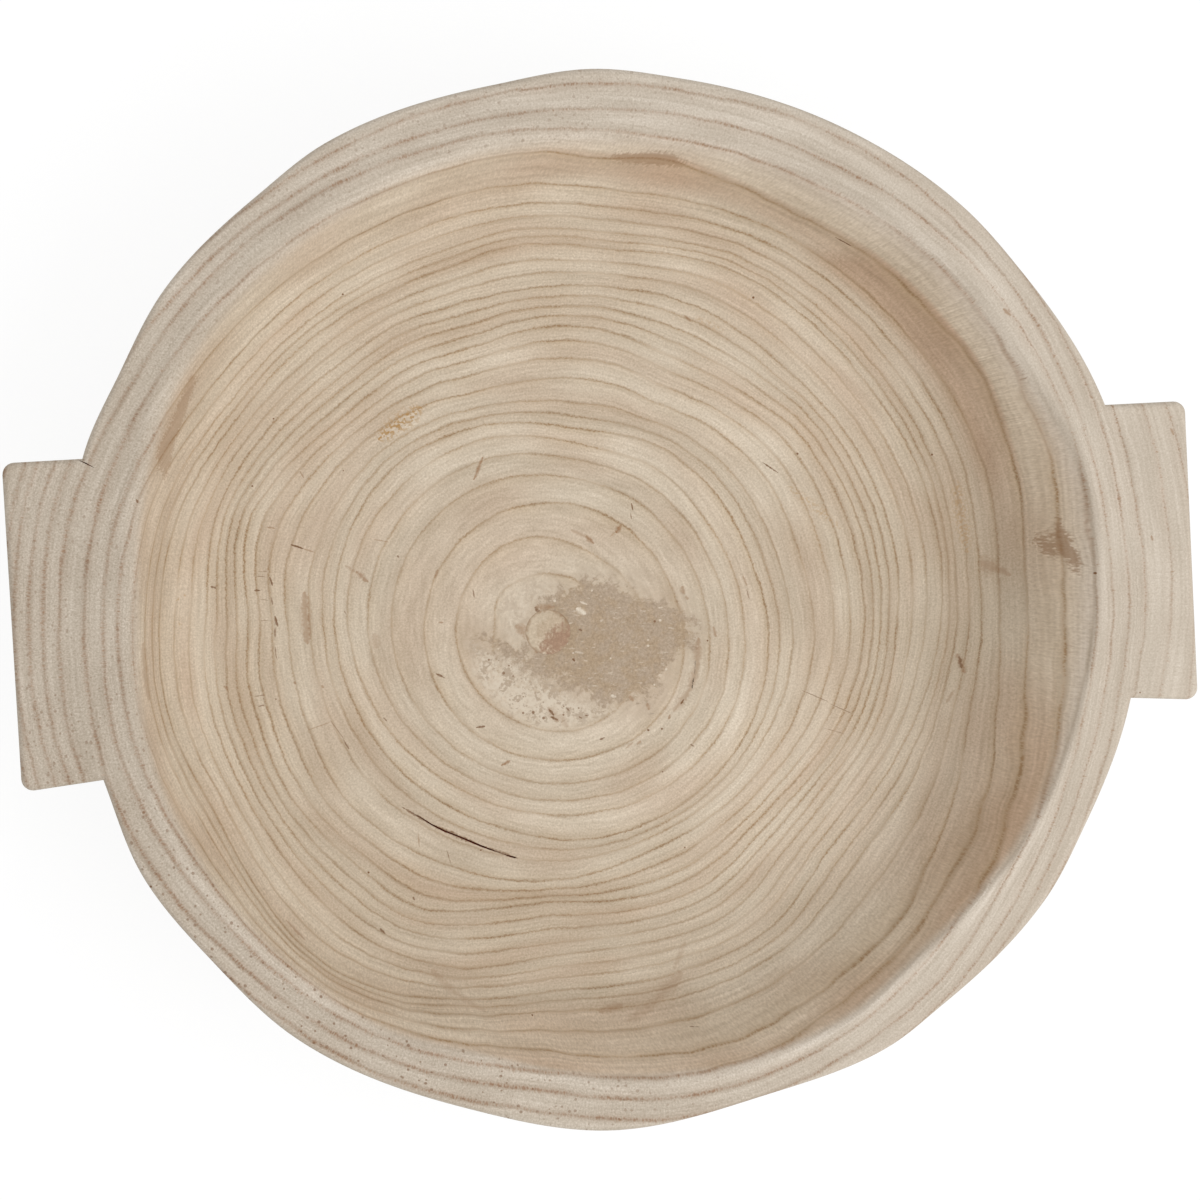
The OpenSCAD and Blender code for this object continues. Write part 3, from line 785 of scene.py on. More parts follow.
def add_wood_fields(mesh):
    """Stores ring, filler and colour fields at each vertex."""
    points = read_points(mesh.vertices, "co") / MM
    x, y, z = points.T
    angle, radius = trunk_polar(points)
    in_trunk = np.column_stack([polar(radius, angle), z * FIBRE_STRETCH])
    phase, gap = ring_place(angle, radius)
    around, out = to_polar(x, y)
    out = out - lip_r(around)
    wall, rim = wall_and_rim(around, out, z)
    stain, share = wall_stains(points, around, (out < LIP_R) & (z > FLOOR_Z + 3))
    comb = smooth_step(*COMB_IN, phase) * smooth_step(*COMB_OUT, phase)
    comb = 0.06 + comb * np.maximum(curve_at(WALL_COMB, around), 0)
    rough = (curve_at(RIM_ROUGH, around) - 1) * rim * (1 - wall) + (curve_at(WALL_ROUGH, around) - 1) * wall
    ink = np.interp(phase, np.arange(LAST_RING + 1), RING_INK)
    ink = ink * (1 + (curve_at(RIM_INK, around) - 1) * rim)
    tone = 1 + 0.075 * np.interp(phase, np.arange(LAST_RING) + 0.5, RING_TONE)
    tone = tone + 0.06 * ring_clouds(in_trunk, phase, 60, 0.5, CLOUD_SEED)
    tone = tone + 0.07 * ring_clouds(in_trunk, phase, 22, 1.7, FINE_CLOUD_SEED)
    warm = 0.16 + 0.6 * ring_clouds(in_trunk, phase, 40, 0.6, WARM_SEED) + brown_zones(angle, phase)
    fields = {
        "gap": gap,
        "ring": phase + 0.5 * ripple(in_trunk, 9, WOBBLE_SEED) / gap,
        "comb": wall * comb,
        "flat": np.abs(read_points(mesh.vertices, "normal")[:, 2]),
        "wall_stain": stain,
        "wall_stain_share": share,
        "rim": rim,
        "rough": 1 + rough,
        "pores": rim * curve_at(RIM_PORES, around),
        "ink": ink * np.clip(0.88 + 0.75 * ripple(in_trunk, 16, INK_SEED), 0.2, 1.4),
        # The wood's own ring tone and clouds, plus painted light and shade by side and the lip's painted
        # highlight
        "tone": tone + painted_side_light(around, out, z, radius, wall, rim),
        "warm": np.clip(warm, 0, 1),
        "filler": filler_distance(points),
        "chalk": chalk_share(points),
        "deep": in_cracks(points),
    }
    for name, values in fields.items():
        set_attribute(mesh, name, values)


BROWN, GOLD, PALE = range(3)
MARK_REACH = 4
MARK_FACING = 0.4


def plan_marks(kind, marks):
    """Marks on the floor or the rim: kind, two ends, the surface's normal, width, strength."""
    found = []
    for x1, y1, x2, y2, width, strength in marks:
        z = FLOOR_Z if math.hypot(x1, y1) < BOWL_R - 2 * RIM_W else BOWL_H
        ends = [np.array([x1, y1, z]), np.array([x2, y2, z])]
        found.append((kind, *ends, np.array([0, 0, 1]), width, strength))
    return found


def wall_marks(kind, marks):
    """Marks on the inner wall, in the same form."""
    found = []
    for angle1, z1, angle2, z2, width, strength in marks:
        ends = [np.append(polar(wall_r(a, z), a), z) for a, z in ((angle1, z1), (angle2, z2))]
        normal = np.append(-polar(math.cos(WALL_LEAN), (angle1 + angle2) / 2), math.sin(WALL_LEAN))
        found.append((kind, *ends, normal, width, strength))
    return found


def add_mark_layer(mesh, name, marks):
    """Stores on each face the mark that lies there: place along and across it, and strength, and its kind."""
    points = read_points(mesh.vertices, "co") / MM
    centres = read_points(mesh.polygons, "center") / MM
    normals = read_points(mesh.polygons, "normal")
    sizes = np.empty(len(centres), np.int32)
    mesh.polygons.foreach_get("loop_total", sizes)
    corner_points = np.empty(sizes.sum(), np.int32)
    mesh.loops.foreach_get("vertex_index", corner_points)
    corner_face = np.repeat(np.arange(len(centres)), sizes)
    nearest = np.full(len(centres), float(MARK_REACH))
    chosen = np.full(len(centres), -1)
    for number, (kind, start, end, normal, width, strength) in enumerate(marks):
        away = side_distance(centres, start, end) - width / 2
        near = (away < nearest) & (normals @ normal > MARK_FACING)
        nearest[near] = away[near]
        chosen[near] = number
    values = np.zeros((len(corner_points), 3))
    kinds = np.zeros(len(centres))
    for number, (kind, start, end, normal, width, strength) in enumerate(marks):
        kinds[chosen == number] = kind
        corners = chosen[corner_face] == number
        way = end - start
        half = np.linalg.norm(way) / 2
        way = way / half / 2
        side = np.cross(normal, way)
        place = points[corner_points[corners]] - (start + end) / 2
        along = (place @ way) / (half + width / 3)
        across = (place @ side) / (width / 2)
        values[corners] = np.column_stack([along, across, np.full(len(along), strength)])
    set_attribute(mesh, name, values, "CORNER")
    set_attribute(mesh, name + "_kind", kinds, "FACE")


def add_marks(mesh):
    """Broad stains and, over them, dark ticks."""
    add_mark_layer(mesh, "stain", (
        plan_marks(BROWN, BROWN_MARKS) + plan_marks(GOLD, GOLD_MARKS) + plan_marks(PALE, PALE_MARKS)
        + wall_marks(BROWN, BROWN_WALL_MARKS) + wall_marks(GOLD, GOLD_WALL_MARKS)
    ))
    add_mark_layer(mesh, "tick", plan_marks(BROWN, DARK_MARKS) + wall_marks(BROWN, DARK_WALL_MARKS))


# Meshes


def mesh_object(name, points, faces):
    mesh = bpy.data.meshes.new(name)
    mesh.from_pydata((np.asarray(points) * MM).tolist(), [], faces)
    mesh.validate()
    found = bpy.data.objects.new(name, mesh)
    bpy.context.scene.collection.objects.link(found)
    return found


def bands(rows, sides):
    """Faces between closed rows of points."""
    found = []
    for low in range(0, (rows - 1) * sides, sides):
        for i in range(sides):
            j = (i + 1) % sides
            found.append([low + i, low + j, low + sides + j, low + sides + i])
    return found


def prism(name, loop, low, high, low_loop=None):
    """Closed block between two heights, over an anticlockwise outline."""
    n = len(loop)
    below = loop if low_loop is None else low_loop
    points = np.concatenate([
        np.column_stack([below, np.full(n, low)]),
        np.column_stack([loop, np.full(n, high)]),
    ])
    return mesh_object(name, points, bands(2, n) + [list(range(n - 1, -1, -1)), list(range(n, 2 * n))])


def crack_block(name, line, low, high):
    """Block along a line of x, y, width, thin at its foot, for cutting an open crack."""
    line = np.array(line, float)
    middle, half = line[:, :2], line[:, 2:] / 2
    way = np.gradient(middle, axis=0)
    normal = np.stack([-way[:, 1], way[:, 0]], -1) / np.linalg.norm(way, axis=1)[:, None]
    start, end = middle[0] - way[0] / 3, middle[-1] + way[-1] / 3

    def loop(share):
        reach = normal * half * share
        return np.concatenate([[start], middle - reach, [end], (middle + reach)[::-1]])

    return prism(name, loop(1), low, high, loop(0.3))


def cut(target, tools):
    """Cuts the tools out of the target for good."""
    for tool in tools:
        step = target.modifiers.new(tool.name, "BOOLEAN")
        step.operation = "DIFFERENCE"
        step.solver = "EXACT"
        step.object = tool
    bpy.context.view_layer.update()
    done = target.evaluated_get(bpy.context.evaluated_depsgraph_get())
    mesh = bpy.data.meshes.new_from_object(done)
    target.modifiers.clear()
    target.data = mesh
    for tool in tools:
        bpy.data.objects.remove(tool)


CREASE = math.radians(40)


def finish_mesh(piece):
    piece.data.shade_smooth()
    piece.data.set_sharp_from_angle(angle=CREASE)
    return piece


def finish_wood(piece):
    finish_mesh(piece)
    add_wood_fields(piece.data)
    add_marks(piece.data)
    return piece


CUT_CLEAR = 5


def make_bowl():
    points = np.concatenate(base_rings() + outside_rings() + rim_rings() + inside_rings())
    n = len(points)
    faces = [[i % n for i in face] for face in bands(n // COLUMNS + 1, COLUMNS)]
    bowl = mesh_object("carved_bowl", carve(points), faces)
    top = FLOOR_Z + CUT_CLEAR
    cut(bowl, [
        prism("patch_cut", patch_loop, FLOOR_Z - FILLER_T, top),
        crack_block("floor_crack_cut", FLOOR_CRACK, FLOOR_Z - FLOOR_CRACK_DEPTH, top),
        crack_block("handle_check_cut", HANDLE_CHECK, BOWL_H - HANDLE_CHECK_DEPTH, BOWL_H + 2),
    ])
    return finish_wood(bowl)


# Hand-carved unevenness: height or depth, and size of its scoops
FLOOR_SCOOP, FLOOR_SCOOP_SIZE = 0.35, 28
FINE_SCOOP, FINE_SCOOP_SIZE = 0.15, 11
WALL_SCOOP, WALL_SCOOP_SIZE = 0.5, 20
FACET, FACET_SIZE, FACET_IN = 0.45, 24, 0.3
RIM_WAVE, RIM_WAVE_SIZE, RIM_WAVE_IN = 0.12, 30, 0.14
WALL_STRETCH, FACET_STRETCH = [1, 1, 0.6], [1, 1, 0.5]
CALM_EDGE = (2, 25)
FACETS_FROM = 4
NEAR = 0.01


def carve(points):
    """Soft scoops inside, faint facets outside, none at the plug, the filler and the base."""
    points = points.copy()
    x, y, z = points.T
    around, out = to_polar(x, y)
    inside = out < lip_r(around) + curve_at(LIP_ROUND, around)
    from_plug = np.linalg.norm(points[:, :2] - PITH, axis=1) - BORE_R
    calm = smooth_step(*CALM_EDGE, np.minimum(edge_distance(points[:, :2], patch_loop), from_plug))
    scoop = FLOOR_SCOOP * ripple(points, FLOOR_SCOOP_SIZE, FLOOR_SEED)
    scoop = scoop + FINE_SCOOP * ripple(points, FINE_SCOOP_SIZE, FINE_SEED)
    z += np.where(inside & (z > FLOOR_Z - NEAR) & (z < cove_z), scoop * calm, 0)
    wall = inside & (z >= cove_z - COVE_R / 2) & (z < BOWL_H - NEAR)
    push = np.where(wall, WALL_SCOOP * ripple(points * WALL_STRETCH, WALL_SCOOP_SIZE, WALL_SEED), 0)
    outside = ~inside & (z > FACETS_FROM) & (z < BOWL_H - EDGE_R - NEAR)
    facets = FACET * ripple(points * FACET_STRETCH, FACET_SIZE, OUTSIDE_SEED) - FACET_IN
    push += np.where(outside, facets, 0)
    points[:, :2] *= (1 + push / np.maximum(out, 1))[:, None]
    rim = ~inside & (z >= BOWL_H - NEAR)
    z += np.where(rim, RIM_WAVE * ripple(points, RIM_WAVE_SIZE, RIM_SEED) - RIM_WAVE_IN, 0)
    return points


def grid_in(loop, step):
    """Triangulated flat piece inside an outline, with an even grid of points."""
    low, high = loop.min(0), loop.max(0)
    columns_x, rows_y = (np.arange(low[k], high[k], step) for k in range(2))
    grid = np.array([[x, y] for x in columns_x for y in rows_y])
    inner = grid[edge_distance(grid, loop) < -0.6 * step]
    edges = [[i, (i + 1) % len(loop)] for i in range(len(loop))]
    corners = [Vector(v) for v in np.concatenate([loop, inner])]
    found = geometry.delaunay_2d_cdt(corners, edges, [], 1, 1e-4)
    return np.array([list(v) for v in found[0]]), [list(f) for f in found[2]]


# Filler: size of its grid and height of its lumps on the floor and underneath, and steps of round outlines
PATCH_GRID, PATCH_RELIEF = 1.3, 0.12
UNDER_GRID, UNDER_RELIEF = 1.5, 0.1
LUMP_SIZE = 3.5
LUMP_SINK = 0.4
LUMP_EDGE = 2.5
HOLE_TURN = 5
DISC_TURN = 3


def slab(name, loop, low, high, step, relief, seed, up=True):
    """Thin piece with a flat back and an uneven face, upwards or downwards."""
    flat, faces = grid_in(loop, step)
    n = len(flat)
    depth = smooth_step(0, LUMP_EDGE, -edge_distance(flat, loop))
    bumps = relief * depth * (ripple(np.column_stack([flat, np.zeros(n)]), LUMP_SIZE, seed) - LUMP_SINK)
    face_z, back_z = (high + bumps, np.full(n, low)) if up else (low - bumps, np.full(n, high))
    points = np.concatenate([np.column_stack([flat, back_z]), np.column_stack([flat, face_z])])
    used = {(a, b) for f in faces for a, b in zip(f, f[1:] + f[:1])}
    found = [[n + i for i in f] for f in faces]
    found += [f[::-1] for f in faces]
    found += [[a, b, n + b, n + a] for a, b in used if (b, a) not in used]
    return mesh_object(name, points, found if up else [f[::-1] for f in found])


def make_floor_filler():
    low = FLOOR_Z - FILLER_T
    filler = slab("filler_patch", patch_loop, low, FLOOR_Z, PATCH_GRID, PATCH_RELIEF, PATCH_SEED)
    hole = PITH + polar(BORE_R, np.arange(0, 360, HOLE_TURN))
    cut(filler, [prism("plug_cut", hole, FLOOR_Z - CUT_CLEAR, FLOOR_Z + CUT_CLEAR)])
    return finish_wood(filler)


def make_base_filler():
    disc = PITH + polar(UNDER_R, np.arange(0, 360, DISC_TURN))
    filler = slab("filler_under", disc, 0, FILLER_T, UNDER_GRID, UNDER_RELIEF, UNDER_SEED, up=False)
    return finish_wood(filler)


PLUG_SIDES = 108
PLUG_ROWS = 20
PLUG_SIDE_TOP = FLOOR_Z - 1.2
PLUG_PROUD = 0.1
CHIP_DEPTH = 0.2
CHIP_TURN = 30


def make_plug():
    """Plug with an uneven end, chipped along its left and upper edge."""
    turn = np.arange(PLUG_SIDES) * 360 / PLUG_SIDES
    top_r = PLUG_R + 0.7 * GLUE_GAP
    rows = []
    for z in (plug_low[2], FLOOR_Z / 2, PLUG_SIDE_TOP):
        rows.append(np.column_stack([PITH + polar(top_r, turn), np.full(PLUG_SIDES, z)]))
    side = 0.5 - 0.5 * np.cos(np.radians(turn + CHIP_TURN))
    for share in np.linspace(0, 1, PLUG_ROWS)[:-1]:
        row = np.column_stack([PITH + polar(top_r * (1 - share), turn), np.full(PLUG_SIDES, FLOOR_Z)])
        chip = smooth_step(1.1, 0.1, share * top_r - 1.2 * ripple(row, 2.5, CHIP_SEED))
        chip = chip * smooth_step(0.3, 0.8, side)
        wave = 0.1 * ripple(row, 4, PLUG_SEED) * min(1, share * 4)
        row[:, 2] -= CHIP_DEPTH * chip * min(1, share * 40 + 0.6) + wave
        rows.append(row)
    points = np.concatenate(rows + [[[*PITH, FLOOR_Z]], [[*PITH, plug_low[2]]]])
    points[:, 2] = np.minimum(points[:, 2], FLOOR_Z + PLUG_PROUD)
    middle, foot = len(points) - 2, len(points) - 1
    faces = bands(len(rows), PLUG_SIDES)
    top = (len(rows) - 1) * PLUG_SIDES
    for i in range(PLUG_SIDES):
        j = (i + 1) % PLUG_SIDES
        faces.append([top + i, top + j, middle])
        faces.append([j, i, foot])
    return finish_mesh(mesh_object("plug", points, faces))


# Materials


def srgb(*values):
    """Linear colour from sRGB numbers up to 255."""
    linear = [v / 255 / 12.92 if v < 10.3 else ((v / 255 + 0.055) / 1.055) ** 2.4 for v in values]
    return (*linear, 1.0)


class Field:
    """A number that differs from place to place in a material, for use in plain formulas."""

    def __init__(self, tree, socket):
        self.tree = tree
        self.socket = socket

    def __add__(self, other):
        return self.tree.math("ADD", self, other)

    def __sub__(self, other):
        return self.tree.math("SUBTRACT", self, other)

    def __rsub__(self, other):
        return self.tree.math("SUBTRACT", other, self)

    def __mul__(self, other):
        return self.tree.math("MULTIPLY", self, other)

    def __truediv__(self, other):
        return self.tree.math("DIVIDE", self, other)


class Tree:
    """Short forms for building a material's nodes."""

    def __init__(self, tree):
        self.tree = tree

    def node(self, kind, **settings):
        found = self.tree.nodes.new(kind)
        for name, value in settings.items():
            setattr(found, name, value)
        return found

    def put(self, socket, value):
        if isinstance(value, Field):
            value = value.socket
        if isinstance(value, bpy.types.NodeSocket):
            self.tree.links.new(value, socket)
        else:
            socket.default_value = value

    def made(self, kind, inputs, output=0, **settings):
        """New node with inputs given by name or number, and one of its outputs."""
        found = self.node(kind, **settings)
        for name, value in inputs.items():
            self.put(found.inputs[name], value)
        return Field(self, found.outputs[output])

    def math(self, operation, *values, clamp=False):
        return self.made("ShaderNodeMath", dict(enumerate(values)), operation=operation, use_clamp=clamp)

    def step(self, value, low, high):
        """0 below low, 1 above high, smooth between. Low may be the larger one."""
        inputs = {"Value": value, "From Min": low, "From Max": high}
        return self.made("ShaderNodeMapRange", inputs, interpolation_type="SMOOTHSTEP")

    def range(self, value, low, high):
        """A value from 0 to 1 spread between low and high."""
        return self.made("ShaderNodeMapRange", {"Value": value, "To Min": low, "To Max": high})

    def spread(self, value, amount):
        """Noise about 0.5 turned into a number about 1."""
        return self.range(value, 1 - amount, 1 + amount)

    def bell(self, value):
        return self.math("EXPONENT", value * value * -1)

    def length(self, x, y):
        return self.math("SQRT", x * x + y * y)

    def join(self, *parts):
        return self.made("ShaderNodeCombineXYZ", dict(enumerate(parts)))

    def parts(self, vector, kind="ShaderNodeSeparateXYZ"):
        found = self.node(kind)
        self.put(found.inputs[0], vector)
        return [Field(self, socket) for socket in found.outputs]

    def noise(self, where, scale, detail=2, rough=0.5):
        inputs = {"Vector": where, "Scale": scale, "Detail": detail, "Roughness": rough}
        return self.made("ShaderNodeTexNoise", inputs, "Fac")

    def specks(self, where, scale, share, size):
        """Spots on a share of the cells of a loose grid, with a size in shares of a cell."""
        cells = self.node("ShaderNodeTexVoronoi")
        self.put(cells.inputs["Vector"], where)
        self.put(cells.inputs["Scale"], scale)
        chance, reach, _ = self.parts(cells.outputs["Color"], "ShaderNodeSeparateColor")
        away = self.math("DIVIDE", cells.outputs["Distance"], self.range(reach, 0.4 * size, size))
        return self.math("LESS_THAN", chance, share) * self.step(away, 1, 0.6)

    def mix(self, share, a, b):
        return self.made("ShaderNodeMix", {0: share, 6: a, 7: b}, 2, data_type="RGBA")

    def mix_value(self, share, a, b):
        return self.made("ShaderNodeMix", {0: share, 2: a, 3: b})

    def fade(self, colour, share):
        """A colour times a number, greyer where it gets lighter and redder where it gets darker."""
        shares = self.join(share, self.math("POWER", share, 1.12), self.math("POWER", share, 1.3))
        return self.made("ShaderNodeVectorMath", {0: colour, 1: shares}, operation="MULTIPLY")

    def attribute(self, name, output="Fac"):
        return self.made("ShaderNodeAttribute", {}, output, attribute_name=name)

    def place(self):
        """Place on the piece in millimetres."""
        where = self.made("ShaderNodeTexCoord", {}, "Object")
        scaled = self.made("ShaderNodeVectorMath", {0: where, "Scale": 1 / MM}, operation="SCALE")
        return self.parts(scaled)

    def seen(self):
        """1 for what the camera sees, also in a gloss or through glass."""
        path = self.node("ShaderNodeLightPath").outputs
        found = self.math("MAXIMUM", path["Is Camera Ray"], path["Is Glossy Ray"])
        return self.math("MAXIMUM", found, path["Is Transmission Ray"])


def start_material(name):
    """New material with its node helper and its shader."""
    material = bpy.data.materials.new(name)
    material.use_nodes = True
    return material, Tree(material.node_tree), material.node_tree.nodes["Principled BSDF"]


WOOD_ROUGHNESS = (0.62, 0.82)
WOOD_GLOSS = 0.3
RELIEF_SHARE = 0.5
WOOD_RELIEF, PLUG_RELIEF = 0.15, 0.2


def end_wood(t, shader, colour, grain, height, depth):
    """Matt bare wood with a fine relief."""
    t.put(shader.inputs["Base Color"], colour)
    t.put(shader.inputs["Roughness"], t.range(grain, *WOOD_ROUGHNESS))
    t.put(shader.inputs["Specular IOR Level"], WOOD_GLOSS)
    bump = {"Strength": RELIEF_SHARE, "Distance": depth * MM, "Height": height}
    t.put(shader.inputs["Normal"], t.made("ShaderNodeBump", bump))


# Colours of the wood: between the rings, before a ring and in its line, inside the bowl and on the rim
INSIDE_LIGHT, INSIDE_WARM = srgb(205, 191, 171), srgb(185, 160, 136)
INSIDE_LATE, INSIDE_LINE = srgb(184, 162, 132), srgb(150, 122, 90)
RIM_LIGHT, RIM_LATE, RIM_LINE = srgb(200, 188, 172), srgb(180, 159, 138), srgb(152, 123, 99)
MARK_DARK, MARK_BROWN, MARK_GOLD = srgb(120, 86, 56), srgb(149, 112, 78), srgb(174, 136, 84)
MARK_PALE, CRACK_RED_AND_SHADE = srgb(226, 214, 196), srgb(190, 78, 30)
FILLER_GREY, FILLER_WARM, FILLER_PALE = srgb(172, 153, 132), srgb(169, 147, 121), srgb(214, 201, 182)
FILLER_DARK = srgb(126, 92, 62)
PLUG_LIGHT, PLUG_RED, PLUG_EDGE_AND_CREVICE_SHADE = srgb(191, 172, 148), srgb(163, 131, 108), srgb(142, 110, 80)
PLUG_PALE = srgb(200, 184, 161)


def ring_colour(t, x, y, radius, rim, flat, fibre, hatch, ragged):
    """Wood with its growth rings, and the line's strength."""
    gap = t.attribute("gap")
    ink = t.attribute("ink")
    rough = t.attribute("rough")
    thin = t.range(flat, 0.4, 1)
    fray = ((hatch - 0.5) * t.range(rim, 0.6, 1.3) + (ragged - 0.5) * 1.4) * flat
    phase = t.attribute("ring") + fray / gap
    past = t.math("FRACT", phase) * gap
    before = gap - past
    offset = t.math("MINIMUM", past, before) / (thin * rough * t.range(rim, 0.48, 0.62))
    broken = t.mix_value(rim, t.step(fibre, 0.36, 0.6), t.step(hatch, 0.38, 0.62))
    line = t.math("MULTIPLY", t.bell(offset) * ink, t.range(broken, 0.2, 0.95), clamp=True)
    late = t.math("EXPONENT", before / ((gap * -0.17 - 0.9) * thin)) * 0.6
    early = t.math("EXPONENT", past / (thin * -1.1)) * 0.3
    shade = t.math("MULTIPLY", late + early, ink, clamp=True)
    light = t.mix(rim, t.mix(t.attribute("warm"), INSIDE_LIGHT, INSIDE_WARM), RIM_LIGHT)
    colour = t.mix(shade, light, t.mix(rim, INSIDE_LATE, RIM_LATE))
    colour = t.mix(line, colour, t.mix(rim, INSIDE_LINE, RIM_LINE))
    # Faint stripes along the rings, fibres, tool marks up the wall and rays across the rings
    turn_x, turn_y = x / radius * 5, y / radius * 5
    stripes = t.noise(t.join(turn_x, turn_y, phase * 9), 1, 1)
    comb = t.noise(t.join(turn_x * 60, turn_y * 60, radius * 0.12), 1, 0)
    # The tone attribute holds the wood's own tone and also painted light and shade by side, with the lip's
    # painted highlight
    tone = t.attribute("tone") * t.spread(stripes, 0.2)
    tone = tone * ((fibre - 0.5) * (rough * t.range(flat, 0.32, 0.53)) + 1)
    tone = tone * ((comb - 0.5) * t.attribute("comb") + 1)
    tone = tone * ((hatch - 0.5) * (t.range(rim, 0.2, 0.3) * rough * thin) + 1)
    colour = t.fade(colour, tone)
    # Short pores across the rings close to a line, and open holes in the rim
    pore = t.step(hatch, 0.58, 0.72) * (t.bell(past / 1.8) * t.range(rim, 0.25, 0.65))
    colour = t.mix(pore, colour, MARK_BROWN)
    holes = t.specks(t.join(x, y, radius * 0.5), 0.42, 0.45, 0.38) * t.attribute("pores") * 0.7
    return t.mix(holes, colour, MARK_DARK), line


def mark_shape(t, name, ragged, fibre, edge, core):
    """Share of a layer of marks at a place: full inside the core, none past the edge, in half widths."""
    along, across, strength = t.parts(t.attribute(name, "Vector"))
    width = t.math("MAXIMUM", t.math("SQRT", t.math("MAXIMUM", 1 - along * along, 0)), 0.05)
    offset = t.math("ABSOLUTE", across) / width + (ragged - 0.5) * 2.2
    inside = t.math("LESS_THAN", t.math("ABSOLUTE", along), 1)
    mark = t.step(offset, edge, core) * inside * strength
    return t.math("MULTIPLY", mark, t.range(fibre, 0.5, 1.6), clamp=True)


def mark_colour(t, colour, ragged, fibre):
    """Stains and ticks over the wood."""
    edge = t.attribute("wall_stain") + (ragged - 0.5) * 9 + (fibre - 0.5) * 8
    broad = t.step(edge, 3, -1) * t.attribute("wall_stain_share")
    broad = t.math("MULTIPLY", broad, t.range(fibre, 0.6, 1.3), clamp=True)
    colour = t.mix(broad, colour, MARK_BROWN)
    kind = t.attribute("stain_kind")
    speckled = t.mix_value(t.math("COMPARE", kind, GOLD, 0.5), 1, t.step(ragged, 0.46, 0.6))
    stain = mark_shape(t, "stain", ragged, fibre, 1.55, 0.05) * speckled
    tint = t.mix(t.math("GREATER_THAN", kind, GOLD - 0.5), MARK_BROWN, MARK_GOLD)
    tint = t.mix(t.math("GREATER_THAN", kind, PALE - 0.5), tint, MARK_PALE)
    colour = t.mix(stain, colour, tint)
    return t.mix(mark_shape(t, "tick", ragged, fibre, 1.15, 0.3), colour, MARK_DARK)


def filler_colour(t, colour, x, y, z, trunk, fibre, ragged):
    """Filler: mottled in the middle, a thin wash with holes towards its edge, chalky wood beside it."""
    grain = t.noise(trunk, 0.16, 4, 0.68)
    crumb = t.noise(trunk, 0.55, 3, 0.6)
    chalk = t.attribute("chalk")
    colour = t.mix(chalk * t.range(t.step(crumb, 0.38, 0.56), 0.25, 0.95), colour, FILLER_PALE)
    colour = t.mix(t.step(ragged * 0.5 + grain, 0.76, 0.84) * chalk * 0.75, colour, FILLER_GREY)
    colour = t.mix(t.specks(trunk, 0.5, 0.16, 0.4) * t.step(chalk, 0.5, 0.9) * 0.8, colour, FILLER_DARK)
    edge = t.attribute("filler") + (grain - 0.5) * 24 + (crumb - 0.5) * 11
    wash = t.step(edge, 9, 0) * t.step(fibre, 0.4, 0.6) * 0.5
    cover = t.math("MAXIMUM", t.step(edge, 2, -3) * 0.92, wash)
    paste = t.mix(t.step(grain, 0.4, 0.6), FILLER_GREY, FILLER_WARM)
    # Short level streaks left by the spatula
    streaks = t.noise(t.join(x * 0.25, y, z), 1, 2, 0.6)
    paste = t.mix(t.step(streaks, 0.6, 0.72) * 0.6, paste, FILLER_PALE)
    paste = t.fade(paste, t.spread(fibre, 0.28) * t.spread(ragged, 0.3))
    paste = t.mix(t.specks(trunk, 0.4, 0.08, 0.3), paste, FILLER_PALE)
    paste = t.mix(t.specks(t.join(y, x, z), 0.25, 0.1, 0.2), paste, FILLER_DARK)
    return t.mix(cover, colour, paste)


def wood_material(name):
    """Bare end-grain wood with its growth rings, and filler where the filler lies."""
    material, t, shader = start_material(name)
    x, y, z = t.place()
    x = x - float(PITH[0]) - (z - FLOOR_Z) * TRUNK_TILT
    y = y - float(PITH[1])
    radius = t.length(x, y)
    # Long in the direction of the trunk, so that walls show fibres and the floor shows their ends
    trunk = t.join(x, y, z * FIBRE_STRETCH)
    rays = t.join(x / radius * 300, y / radius * 300, radius * 0.4)
    flat = t.attribute("flat")
    fibre = t.noise(trunk, 1.3, 1, 0.7)
    ragged = t.noise(trunk, 0.8)
    hatch = t.noise(rays, 1, 2, 0.6)
    colour, line = ring_colour(t, x, y, radius, t.attribute("rim"), flat, fibre, hatch, ragged)
    colour = filler_colour(t, colour, x, y, z, trunk, fibre, ragged)
    colour = mark_colour(t, colour, ragged, fibre)
    colour = t.mix(t.specks(trunk, 0.11, 0.12, 0.08), colour, MARK_DARK)
    # Crack walls painted dark red-brown towards their foot: partly the crack's own colour, partly painted
    # shade in the narrow crack
    colour = t.mix(t.step(t.attribute("deep"), 0, 0.12), colour, CRACK_RED_AND_SHADE)
    height = (fibre * 0.6 + hatch * 0.3 - line * 0.4) * t.range(flat, 0.3, 1)
    end_wood(t, shader, colour, fibre, height, WOOD_RELIEF)
    return material


